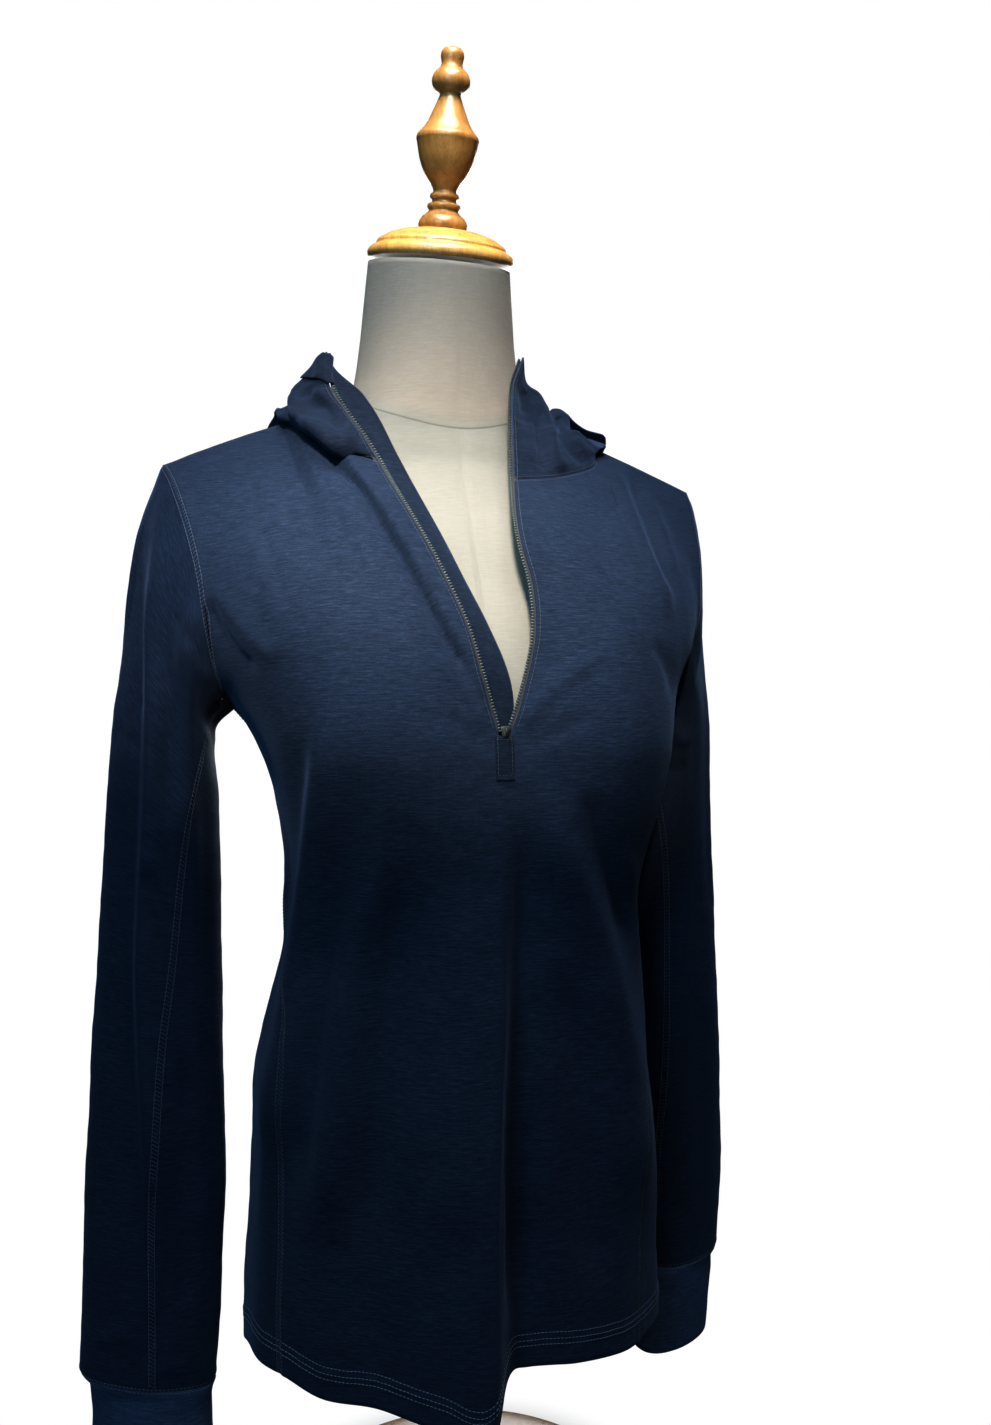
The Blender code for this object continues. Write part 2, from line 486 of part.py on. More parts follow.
# ------------------------------------------------------------------ one shared mesh of cloth
class Cloth:
    """Patches of a common surface: points that coincide are shared, so that a seam has one normal."""

    def __init__(self):
        self.points, self.index, self.faces = [], {}, {}

    def point(self, p):
        key = tuple(np.round(np.asarray(p) * 500).astype(int))
        for dx in (0, -1, 1):
            for dy in (0, -1, 1):
                for dz in (0, -1, 1):
                    found = self.index.get((key[0] + dx, key[1] + dy, key[2] + dz))
                    if found is not None:
                        return found
        self.index[key] = len(self.points)
        self.points.append(np.asarray(p, float))
        return self.index[key]

    def patch(self, name, grid, closed=False, flip=False):
        rows, cols = grid.shape[:2]
        ids = [[self.point(grid[i, j]) for j in range(cols)] for i in range(rows)]
        out = self.faces.setdefault(name, [])
        last = cols if closed else cols - 1
        for i in range(rows - 1):
            for j in range(last):
                k = (j + 1) % cols
                quad = [ids[i][j], ids[i][k], ids[i + 1][k], ids[i + 1][j]]
                quad = [v for n, v in enumerate(quad) if v != quad[n - 1]]
                if len(quad) > 2:
                    out.append(quad[::-1] if flip else quad)

    def normals(self, names):
        p = np.array(self.points)
        n = np.zeros_like(p)
        for name in names:
            for f in self.faces[name]:
                q = p[f]
                a = np.cross(q[2] - q[0], (q[3] if len(f) > 3 else q[1]) - q[1]) if len(f) > 3 else \
                    np.cross(q[1] - q[0], q[2] - q[0])
                for v in f:
                    n[v] += a
        return unit(n)

    def wall(self, name, normals, thickness=CLOTH, inset=SEAM_GAP / 2, lift=0.0):
        """Closed wall: the patch, drawn in from its edges, and a copy of it inside."""
        p = np.array(self.points)
        faces = self.faces[name]
        used = sorted({v for f in faces for v in f})
        edges = {}
        for f in faces:
            for a, b in zip(f, f[1:] + f[:1]):
                edges[(a, b)] = True
        border = [(a, b) for a, b in edges if (b, a) not in edges]
        move = {}
        for a, b in border:
            t = unit(p[b] - p[a])
            for v in (a, b):
                d = np.cross(normals[v], t)
                move.setdefault(v, []).append(unit(d))
        local = {v: n for n, v in enumerate(used)}
        outer = np.array([p[v] for v in used])
        nrm = np.array([normals[v] for v in used])
        for v, ds in move.items():
            ds = np.array(ds)
            m = ds.mean(axis=0)
            size = np.linalg.norm(m)
            if size > 1e-6:
                m = m / size
                reach = inset / max(0.45, float(np.min(ds @ m)))
                outer[local[v]] = outer[local[v]] + m * reach
        outer = outer + nrm * lift
        inner = outer - nrm * thickness
        verts = np.vstack([outer, inner])
        n = len(used)
        out = []
        for f in faces:
            # both faces of the wall are split along the same, shorter diagonal
            q = [local[v] for v in f]
            if len(q) == 4:
                d = np.linalg.norm(outer[q[0]] - outer[q[2]]) - np.linalg.norm(outer[q[1]] - outer[q[3]])
                halves = ([q[0], q[1], q[2]], [q[0], q[2], q[3]]) if d <= 0 else ([q[0], q[1], q[3]], [q[1], q[2], q[3]])
            else:
                halves = (q,)
            out += [list(h) for h in halves] + [[v + n for v in h[::-1]] for h in halves]
        out += [[local[b], local[a], local[a] + n, local[b] + n] for a, b in border]
        return verts, out


def build_cloth():
    cloth = Cloth()
    v = np.linspace(0, 1, LOW_ROWS + 1)
    zip_row = LOW_ROWS - 1
    # the row below the underarm passes through the zip's base
    v[zip_row] = (ZIP_BASE + 57.7) / (UNDERARM + 57.7)
    v[1:zip_row] = np.linspace(0, v[zip_row], zip_row + 1)[1:-1]
    angles = seam_angles(v)
    t = np.linspace(0, 1, HIGH_ROWS + 1)
    half = SHOULDER_COLS + NECK_COLS
    u = np.linspace(0, 1, half + 1)
    for side in (-1, 1):
        # top of the lower part follows the open edge; below the zip's base both halves meet
        z0 = spline(ZIP_RIGHT if side < 0 else ZIP_LEFT, 0.0)[0]
        fa, ba = angles[side]
        end = CENTRE_HEM * np.clip(1 - v / v[zip_row], 0, 1)
        end[-1] = math.atan2(z0[0], -z0[1]) / DEG
        th = side * fa[:, None] * (1 - u[None]) + end[:, None] * u[None]
        low = low_body(th, np.repeat(v[:, None], half + 1, 1))
        high = high_front(side, u, t)
        low[-1] = high[0]
        cloth.patch("front_body", np.concatenate([low, high[1:]]), flip=side > 0)
        cloth_arm[side] = high[:, 0]
        cloth_edge[side] = np.concatenate([low[zip_row:, -1], high[1:, -1]])
        # side panel
        w = np.linspace(0, 1, SIDE_COLS + 1)
        th = side * (fa[:, None] * (1 - w[None]) + ba[:, None] * w[None])
        panel = low_body(th, np.repeat(v[:, None], SIDE_COLS + 1, 1))
        f0 = mirror(spline(ARMHOLE_FRONT, 0.0)[0], side)
        b0 = mirror(spline(ARMHOLE_BACK, 0.0)[0], side)
        panel[-1] = f0 + (b0 - f0) * w[:, None] + np.array([side * 0.5, 0, 0.0]) * (4 * w * (1 - w))[:, None]
        panel[-1, 0], panel[-1, -1] = f0, b0
        cloth.patch("side_panel_right" if side < 0 else "side_panel_left", panel, flip=side < 0)
        cloth_under[side] = panel[-1]
    n = 2 * SHOULDER_COLS + BACK_NECK_COLS
    ub = np.linspace(0, 1, n + 1)
    br, bl = angles[-1][1], angles[1][1]
    th = -br[:, None] - (360 - br[:, None] - bl[:, None]) * ub[None]
    low = low_body((th + 180) % 360 - 180, np.repeat(v[:, None], n + 1, 1))
    high = high_back(ub, t)
    low[-1] = high[0]
    cloth.patch("back_body", np.concatenate([low, high[1:]]), flip=True)
    for side in (-1, 1):
        back = high[:, 0] if side < 0 else high[:, -1]
        front = cloth_arm[side]
        under = cloth_under[side]
        # once round the armhole from the shoulder's tip, down the front, under and up the back
        loop = np.vstack([front[::-1], under[1:-1], back[:-1]])
        nf, nu, nb = len(front) - 1, len(under) - 1, len(back) - 1
        psi = np.concatenate([np.linspace(0, 150, nf + 1) * DEG,
                              np.linspace(150, 210, nu + 1)[1:-1] * DEG,
                              np.linspace(210, 360, nb + 1)[:-1] * DEG])
        s = np.concatenate([np.linspace(0, 0.31, 7), np.linspace(0.31, 1.0, SLEEVE_ROWS - 6 + 1)[1:]])
        tube = sleeve(side, loop, psi, s)
        cloth.patch("sleeve_right" if side < 0 else "sleeve_left", tube, closed=True, flip=side < 0)
        cuff = ring(CUFF_RIGHT if side < 0 else CUFF_LEFT, psi, np.array([0.0, 0.12, 0.5, 1.0]))
        cuff[0] = tube[-1]
        cloth.patch("cuff_right" if side < 0 else "cuff_left", cuff, closed=True, flip=side < 0)
    # hood halves
    m = 2 * NECK_COLS + BACK_NECK_COLS
    a = np.linspace(0, 1, m + 1)
    sheet = hood(a, np.array(HOOD_ROWS))
    mid = m // 2
    cloth.patch("hood_right", sheet[: mid + 1].transpose(1, 0, 2), flip=True)
    cloth.patch("hood_left", sheet[mid:].transpose(1, 0, 2), flip=True)
    for side, end in ((-1, 0), (1, -1)):
        cloth_edge[side] = np.concatenate([cloth_edge[side], sheet[end, 1:]])
    return cloth


cloth_arm, cloth_under, cloth_edge = {}, {}, {}


# ------------------------------------------------------------------ solids
def material(name, colour, roughness, metallic=0.0):
    m = bpy.data.materials.new(name)
    m.use_nodes = True
    b = m.node_tree.nodes["Principled BSDF"]
    b.inputs["Base Color"].default_value = (*colour, 1.0)
    b.inputs["Roughness"].default_value = roughness
    b.inputs["Metallic"].default_value = metallic
    return m


def add(name, verts, faces, mat, smooth=True, triangles=True):
    """One closed body; the points are in centimetres from the shoulder tips' height."""
    verts = np.asarray(verts, float) + np.array([0.0, 0.0, SHOULDER_Z])
    mesh = bpy.data.meshes.new(name)
    mesh.from_pydata([tuple(p) for p in verts * CM], [], [tuple(int(i) for i in f) for f in faces])
    bm = bmesh.new()
    bm.from_mesh(mesh)
    if triangles:
        bmesh.ops.triangulate(bm, faces=bm.faces[:], quad_method="SHORT_EDGE", ngon_method="BEAUTY")
    if bm.calc_volume(signed=True) < 0:
        bmesh.ops.reverse_faces(bm, faces=bm.faces[:])
    bm.to_mesh(mesh)
    bm.free()
    mesh.validate()
    if smooth:
        mesh.shade_smooth()
        mesh.set_sharp_from_angle(angle=50 * DEG)
    mesh.materials.append(mat)
    obj = bpy.data.objects.new(name, mesh)
    bpy.context.scene.collection.objects.link(obj)
    return obj


def loft(rings):
    """A closed solid through rings of equal count, with flat ends."""
    rings = np.asarray(rings, float)
    k, n = rings.shape[:2]
    verts = rings.reshape(-1, 3)
    faces = []
    for i in range(k - 1):
        for j in range(n):
            q = (j + 1) % n
            faces.append([i * n + j, i * n + q, (i + 1) * n + q, (i + 1) * n + j])
    faces.append(list(range(n))[::-1])
    faces.append([(k - 1) * n + j for j in range(n)])
    return verts, faces


def tilted(points):
    """Turned pieces stand on the neck's top, leaning forward with it."""
    p = np.asarray(points, float)
    c, s = math.cos(NECK_TILT), math.sin(NECK_TILT)
    y = p[:, 1] * c - p[:, 2] * s
    z = p[:, 1] * s + p[:, 2] * c
    return np.stack([p[:, 0] + CAP_AT[0], y + CAP_AT[1], z + CAP_AT[2]], -1)


def turned(profile, n):
    rings = []
    for r, z in profile:
        a = np.arange(n) * 2 * np.pi / n
        rings.append(np.stack([r * np.cos(a), r * np.sin(a), np.full(n, z)], -1))
    return np.array(rings)


def form_rings(n=28):
    rings = []
    a = np.arange(n) * 2 * np.pi / n
    for z in (r[0] for r in FORM):
        yc, half, front, back, k = spline(FORM, z)[0]
        s, c = np.sin(a), np.cos(a)
        depth = np.where(c > 0, front, back)
        r = ((np.abs(s) / half) ** k + (np.abs(c) / depth) ** k) ** (-1 / k)
        ring_ = np.stack([r * s, yc - r * c, np.full(n, z)], -1)
        # the neck's upper rings lean with the cap
        w = ease((z - 6.0) / 8.6) * math.tan(NECK_TILT)
        ring_[:, 2] += (ring_[:, 1] - yc) * w
        rings.append(ring_)
    return np.array(rings)


def strip(line_a, line_b, normal, thickness):
    """A thin band between two lines, with its outer face on them."""
    a, b = np.asarray(line_a, float), np.asarray(line_b, float)
    n = len(a)
    verts = np.vstack([a, b, b - normal * thickness, a - normal * thickness])
    faces = []
    for i in range(n - 1):
        for k in range(4):
            m = (k + 1) % 4
            faces.append([k * n + i, k * n + i + 1, m * n + i + 1, m * n + i])
    faces.append([0, n, 2 * n, 3 * n])
    faces.append([4 * n - 1, 3 * n - 1, 2 * n - 1, n - 1])
    return verts, faces


def box(centre, size, ux, uy, uz):
    verts = []
    for z in (-1, 1):
        for x, y in ((-1, -1), (1, -1), (1, 1), (-1, 1)):
            verts.append(np.array(centre) + ux * size[0] / 2 * x + uy * size[1] / 2 * y + uz * size[2] / 2 * z)
    faces = [[3, 2, 1, 0], [4, 5, 6, 7], [0, 1, 5, 4], [1, 2, 6, 5], [2, 3, 7, 6], [3, 0, 4, 7]]
    return np.array(verts), faces


def edge_frame(cloth, normals, side):
    """Along the opening: its points from the zip's base up, the cloth's normal there, and the way across it."""
    line = cloth_edge[side]
    normal = np.array([normals[cloth.point(p)] for p in line])
    along = unit(np.gradient(line, axis=0))
    across = unit(np.cross(normal, along)) * (1 if side < 0 else -1)
    across = np.where(np.sum(across * [[-side, -0.4, 0]], -1, keepdims=True) < 0, -across, across)
    return line, unit(np.cross(along, across)), along, across


def build():
    for obj in list(bpy.data.objects):
        bpy.data.objects.remove(obj)
    knit = material("navy_knit", (0.012, 0.020, 0.048), 0.85)
    side_knit = material("navy_knit_side", (0.010, 0.017, 0.042), 0.85)
    rib = material("navy_cuff_knit", (0.011, 0.018, 0.044), 0.86)
    lining = material("navy_facing", (0.013, 0.022, 0.050), 0.8)
    tape = material("zip_tape", (0.09, 0.13, 0.17), 0.6)
    metal = material("zip_slider_metal", (0.35, 0.36, 0.37), 0.4, 0.8)
    linen = material("linen", (0.62, 0.57, 0.48), 0.9)
    wood = material("turned_wood", (0.58, 0.33, 0.12), 0.35)
    pole = material("pole_metal", (0.55, 0.55, 0.56), 0.3, 0.9)

    cloth = build_cloth()
    normals = cloth.normals(cloth.faces)
    mats = {"front_body": knit, "back_body": knit, "hood_right": knit, "hood_left": knit,
            "sleeve_right": knit, "sleeve_left": knit, "side_panel_right": side_knit,
            "side_panel_left": side_knit, "cuff_right": rib, "cuff_left": rib}
    for name in cloth.faces:
        verts, faces = cloth.wall(name, normals)
        add(name, verts, faces, mats[name])

    # zip: a chain of tape and coil along each edge, the facing behind the right one
    for side, name in ((-1, "zip_chain_right"), (1, "zip_chain_left")):
        line, _, along, across = edge_frame(cloth, normals, side)
        line, along, across = line[1:], along[1:], across[1:]
        # the chain turns from the cloth's own direction towards the inside of the neck
        if side < 0:
            aim = spline(FACING_LINE, line[:, 2]) - line
        else:
            aim = np.stack([-np.ones(len(line)), 0.25 + 0 * line[:, 0], 0 * line[:, 0]], -1)
        aim = unit(aim - along * np.sum(along * aim, -1, keepdims=True))
        way = unit(across + aim)
        way = unit(way - along * np.sum(along * way, -1, keepdims=True))
        tilt = np.arccos(np.clip(np.sum(way * across, -1), -1, 1))[:, None]
        normal = unit(np.cross(along, way))
        normal = np.where(normal[:, 1:2] > 0, -normal, normal)
        start = 0.055 + 0.17 * np.tan(np.minimum(tilt, 1.0))
        a, b = line + way * start, line + way * (start + 0.36)
        # the lowest end stops short of the other chain
        f = 0.45
        foot_a = cloth_edge[side][0] + (line[0] - cloth_edge[side][0]) * f + way[0] * start[0]
        a = np.vstack([foot_a, a])
        b = np.vstack([foot_a + way[0] * 0.36, b])
        normal = np.vstack([normal[:1], normal])
        verts, faces = strip(a - normal * 0.01, b - normal * 0.01, normal, 0.12)
        add(name, verts, faces, tape, smooth=False)
        if side < 0:
            outer = b - (b - a) * 0.45 - normal * 0.19
            inner = spline(FACING_LINE, outer[:, 2])
            inner[:, 2] = outer[:, 2]
            along = unit(np.gradient(outer, axis=0))
            nrm = unit(np.cross(along, unit(inner - outer)))
            nrm = np.where(nrm[:, 1:2] > 0, -nrm, nrm)
            verts, faces = strip(outer, inner, nrm, 0.10)
            add("zip_facing", verts, faces, lining, smooth=False)
    # slider at the zip's base and the stitched tab below it
    ux, uy, uz = np.array([1.0, 0, 0]), np.array([0, 0, 1.0]), np.array([0, -1.0, 0])
    base = body_point(0.0, ZIP_BASE)
    verts, faces = box(base + np.array([0.0, -0.28, 0.42]), (0.62, 0.75, 0.26), ux, uy, uz)
    add("zip_slider", verts, faces, metal, smooth=False)
    zs = np.linspace(ZIP_BASE - 0.1, ZIP_BASE - 2.55, 6)
    rows = []
    for z in zs:
        mid = body_point(0.0, z)
        rows.append((mid, np.array([0.0, -1.0, 0.0])))
    left = np.array([m + np.array([-0.62, -0.22, 0]) for m, _ in rows])
    right = np.array([m + np.array([0.62, -0.22, 0]) for m, _ in rows])
    verts, faces = strip(left, right, np.array([0.0, -1.0, 0.0]), 0.11)
    add("zip_end_tab", verts, faces, lining, smooth=False)

    # the form
    verts, faces = loft(form_rings())
    add("form_torso", verts, faces, linen)
    rings = turned(CAP, 32)
    verts, faces = loft(np.array([tilted(r) for r in rings]))
    add("form_cap", verts, faces, wood)
    rings = turned(FINIAL, 24)
    verts, faces = loft(np.array([tilted(r) for r in rings]))
    add("form_finial", verts, faces, wood)
    n = 24
    a = np.arange(n) * 2 * np.pi / n
    rings = [np.stack([POLE_R * np.cos(a), POLE_R * np.sin(a), np.full(n, z)], -1) for z in (POLE_FOOT, POLE_TOP)]
    verts, faces = loft(rings)
    add("form_pole", verts, faces, pole)
    n = 40
    a = np.arange(n) * 2 * np.pi / n
    rings = [np.stack([max(r, 1.0) * np.cos(a), max(r, 1.0) * np.sin(a), np.full(n, z)], -1) for r, z in BASE]
    verts, faces = loft(rings)
    add("form_base", verts, faces, wood)


build()
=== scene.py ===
"""Looks for the half-zip pullover hoodie on its linen dress form.

The cloth is rebuilt here from the same surfaces as the CAD panels, with many more facets: each panel is a
thin wall with rounded edges, gets its listed folds (soft ridges and troughs along short lines), and its
flatlock seams, hem rows, zip and bar tacks are real stitches.  Lengths in the tables are centimetres, with
heights from the shoulder tips; folds of the surfaces that the camera sees are drawn in the picture's plane.
"""
import json
import math

import bpy
import numpy as np
from mathutils import Matrix, Vector

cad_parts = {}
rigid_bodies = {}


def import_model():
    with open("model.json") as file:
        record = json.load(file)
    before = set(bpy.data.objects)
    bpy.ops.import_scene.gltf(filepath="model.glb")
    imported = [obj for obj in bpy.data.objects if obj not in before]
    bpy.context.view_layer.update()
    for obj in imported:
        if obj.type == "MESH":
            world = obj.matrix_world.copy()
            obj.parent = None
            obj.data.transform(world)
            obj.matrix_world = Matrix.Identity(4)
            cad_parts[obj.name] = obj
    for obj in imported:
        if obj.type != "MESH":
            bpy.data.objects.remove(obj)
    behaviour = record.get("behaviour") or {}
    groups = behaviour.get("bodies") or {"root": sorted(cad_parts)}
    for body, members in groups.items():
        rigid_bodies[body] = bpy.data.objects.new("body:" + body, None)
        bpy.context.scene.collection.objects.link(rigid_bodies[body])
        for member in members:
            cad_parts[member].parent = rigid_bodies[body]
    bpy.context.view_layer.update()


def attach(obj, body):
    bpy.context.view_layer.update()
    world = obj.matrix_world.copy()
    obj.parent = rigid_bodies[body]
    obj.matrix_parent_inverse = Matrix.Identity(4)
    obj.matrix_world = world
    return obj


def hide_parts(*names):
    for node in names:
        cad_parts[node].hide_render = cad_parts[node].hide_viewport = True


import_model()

CM = 0.01
SHOULDER_Z = 74.0
CLOTH = 0.13
GAP = 0.004
UNDERARM = -14.7
ZIP_BASE = -17.2
DEG = math.pi / 180.0
SHOULDER_COLS, NECK_COLS, BACK_NECK_COLS = 5, 4, 8

# ------------------------------------------------------------------ the panels' surfaces
BODY = (
    # z      xc     yc    half   front  back
    (-62.0, -0.2,  0.0,  14.1,  10.3,  11.3),
    (-57.0, -0.2,  0.0,  14.1,  10.3,  11.3),
    (-52.0, -0.2,  0.0,  14.0,  10.4,  11.2),
    (-47.0,  0.0, -0.2,  13.8,  10.4,  10.8),
    (-43.0, -0.1, -0.4,  13.5,  10.4,  10.4),
    (-39.0, -0.3, -0.7,  13.2,  10.2,   9.8),
    (-36.0, -0.1, -0.9,  12.8,  10.0,   9.2),
    (-33.0,  0.1, -1.1,  12.3,   9.8,   8.6),
    (-30.5,  0.3, -1.2,  11.9,   9.6,   8.3),
    (-28.0,  0.3, -1.2,  11.8,   9.6,   8.4),
    (-25.0,  0.6, -1.0,  12.0,   9.8,   8.8),
    (-22.0,  0.8, -0.7,  12.5,  10.1,   9.3),
    (-19.5,  0.8, -0.4,  13.0,  10.2,   9.9),
    (-17.0,  0.6, -0.2,  13.7,  10.3,  10.3),
    (-14.7,  0.5,  0.0,  14.4,  10.2,  10.6),
    (-12.0,  0.4,  0.2,  14.9,   9.7,  10.7),
    (-9.0,   0.3,  0.4,  15.2,   8.9,  10.5),
)
ROUNDNESS = 2.3
BUST = {"x": 8.0, "z": -17.0, "out": 2.9, "wide": 5.0, "outward": 6.4, "above": 5.2, "below": 6.8}
HEM = (
    (-180.0, -56.8), (-140.0, -56.9), (-98.0, -56.6), (-80.0, -55.1), (-68.0, -55.2), (-55.0, -56.3),
    (-38.0, -56.5), (-22.0, -57.2), (-8.0, -57.7), (-2.5, -56.2), (9.0, -55.8), (30.0, -56.0),
    (50.0, -56.5), (68.0, -57.0), (85.0, -57.2), (130.0, -56.9), (180.0, -56.8),
)
SEAM_ANGLE = (
    (-60.0,  66.0, 114.0, 49.0, 104.0),
    (-50.0,  67.0, 117.0, 50.0, 106.0),
    (-43.0,  68.0, 120.0, 51.0, 109.0),
    (-36.5,  68.0, 125.0, 58.0, 115.0),
    (-34.0,  71.0, 128.0, 64.0, 119.0),
    (-31.5,  83.0, 131.0, 74.0, 123.0),
    (-29.0,  96.0, 133.0, 86.0, 128.0),
    (-25.0, 104.0, 133.0, 99.0, 131.0),
    (-20.0, 104.0, 129.0, 104.0, 129.0),
    (-14.7,  98.0, 120.0, 98.0, 120.0),
)
CENTRE_HEM = -8.0
FOLDS = (
    # top    hem    z_top   z_hem    out  wide-  wide+
    (-0.5,  -8.6,  -20.0,  -60.0,   2.2,  24.0,   4.2),
    (9.0,    5.0,  -24.0,  -60.0,  -0.9,   7.0,  13.0),
    (-52.0, -72.0, -17.0,  -42.0,   0.5,   9.0,   9.0),
    (-36.0, -46.0, -18.0,  -60.0,  -0.5,  12.0,  12.0),
    (38.0,  40.0,  -18.0,  -60.0,   0.5,  14.0,  12.0),
    (150.0, 146.0, -22.0,  -60.0,   0.8,  12.0,  12.0),
    (-150.0, -148.0, -22.0, -60.0,  0.8,  12.0,  12.0),
    (178.0, 176.0, -18.0,  -60.0,  -0.6,  14.0,  14.0),
)
ARMHOLE_FRONT = (
    (0.00, 14.5,  1.9, -14.7), (0.12, 14.9, -0.6, -14.4), (0.28, 15.8, -3.4, -12.8), (0.45, 16.5, -4.9, -10.0),
    (0.62, 16.9, -4.8,  -7.0), (0.80, 17.5, -3.4,  -3.7), (0.92, 18.1, -1.5,  -1.2), (1.00, 18.5,  0.0,   0.0),
)
ARMHOLE_BACK = (
    (0.00, 13.0,  5.6, -14.7), (0.12, 13.9,  6.7, -13.9), (0.28, 15.0,  7.3, -11.6), (0.45, 15.8,  7.0,  -8.9),
    (0.62, 16.5,  6.0,  -6.2), (0.80, 17.4,  4.0,  -3.0), (0.92, 18.1,  1.7,  -0.9), (1.00, 18.5,  0.0,   0.0),
)
SHOULDER = ((0.0, 18.5, 0.0, 0.0), (0.5, 14.8, 0.7, 1.75), (1.0, 10.9, 1.1, 3.3))
NECK_RIGHT = ((0.0, 10.9, 1.1, 3.3), (0.35, 10.1, -1.2, 2.4), (0.7, 8.2, -3.4, 0.9), (1.0, 5.9, -4.9, -0.05))
NECK_LEFT = ((0.0, 10.9, 1.1, 3.3), (0.3, 10.4, -1.6, 1.3), (0.65, 6.7, -4.1, -0.2), (1.0, 2.85, -5.7, -0.9))
NECK_BACK = (
    (0.0, -10.9,  1.1,  3.3), (0.14, -9.3, 4.5,  3.9), (0.3,  -6.4, 7.6,  4.3), (0.5,   0.0,  9.2,  4.6),
    (0.7,   6.7,  7.5,  4.3), (0.86,  9.9,  4.3,  3.8), (1.0,  10.9,  1.1,  3.3),
)
ZIP_RIGHT = (
    (0.0,  -0.95, -10.5, -14.7), (0.25, -1.95, -10.3, -10.9), (0.48, -3.2,  -9.6,  -7.6),
    (0.68, -4.35, -8.4,  -4.7), (0.85, -5.3,  -6.6,  -2.1), (1.0,  -5.9,  -4.9,  -0.05),
)
ZIP_LEFT = (
    (0.0,   1.45, -10.5, -14.7), (0.25,  2.40, -10.2, -11.2), (0.48,  2.5,  -9.7,  -8.1),
    (0.68,  2.05, -8.9,  -5.3), (0.85,  2.3,  -7.4,  -2.9), (1.0,   2.85, -5.7,  -0.9),
)
SLEEVE_RIGHT = (
    # s     ox     oy     oz     ix     iy     iz   front back
    (0.00, -18.5,  0.0,   0.0, -14.2,  3.3, -14.8,  6.4,  5.4),
    (0.06, -19.9,  0.7,  -3.6, -15.5,  3.0, -16.2,  5.6,  5.6),
    (0.13, -20.6,  1.3,  -7.4, -15.5,  2.0, -17.8,  4.6,  5.2),
    (0.21, -21.1,  1.8, -12.0, -15.4,  1.0, -20.2,  4.0,  4.6),
    (0.31, -21.7,  2.0, -18.0, -15.6,  0.0, -23.6,  3.6,  4.4),
    (0.45, -22.4,  2.1, -26.6, -15.6, -0.3, -29.2,  3.2,  3.9),
    (0.60, -23.1,  2.1, -35.4, -15.6, -0.5, -36.6,  2.9,  3.4),
    (0.75, -23.7,  2.1, -44.2, -15.5, -0.5, -44.8,  2.6,  3.0),
    (0.90, -24.1,  2.1, -52.2, -15.9, -0.5, -52.6,  2.4,  2.7),
    (1.00, -24.3,  2.1, -56.6, -16.3, -0.5, -57.6,  2.2,  2.5),
)
CUFF_RIGHT = (
    (0.00, -24.0,  2.0, -56.7, -16.4, -0.4, -57.7,  2.1,  2.4),
    (0.12, -23.8,  2.0, -57.5, -16.5, -0.4, -58.3,  2.1,  2.3),
    (1.00, -23.8,  2.0, -62.7, -16.5, -0.4, -63.3,  2.1,  2.3),
)
SLEEVE_LEFT = (
    (0.00,  18.5,  0.0,   0.0,  14.2,  3.3, -14.8,  6.2,  5.4),
    (0.06,  19.6,  0.9,  -3.6,  16.0,  3.3, -16.4,  4.9,  5.6),
    (0.13,  20.1,  1.6,  -7.4,  16.1,  2.2, -18.4,  3.7,  5.4),
    (0.21,  20.3,  2.0, -12.0,  15.8,  1.3, -20.8,  3.0,  4.8),
    (0.31,  20.4,  2.2, -18.6,  14.9,  0.5, -24.0,  2.8,  4.6),
    (0.45,  20.7,  2.3, -26.4,  14.4,  0.4, -28.8,  2.7,  4.1),
    (0.60,  21.1,  2.3, -35.0,  14.3,  0.4, -36.2,  2.6,  3.5),
    (0.75,  21.4,  2.3, -43.6,  14.5,  0.4, -44.2,  2.4,  3.0),
    (0.90,  21.3,  2.3, -51.8,  14.9,  0.4, -52.2,  2.2,  2.7),
    (1.00,  20.9,  2.3, -56.1,  15.1,  0.4, -56.6,  2.1,  2.4),
)
CUFF_LEFT = (
    (0.00,  20.8,  2.2, -56.2,  15.2,  0.5, -56.7,  2.0,  2.3),
    (0.12,  20.6,  2.2, -57.0,  15.0,  0.5, -57.5,  2.0,  2.2),
    (1.00,  20.0,  2.2, -62.3,  14.1,  0.5, -62.8,  2.0,  2.2),
)
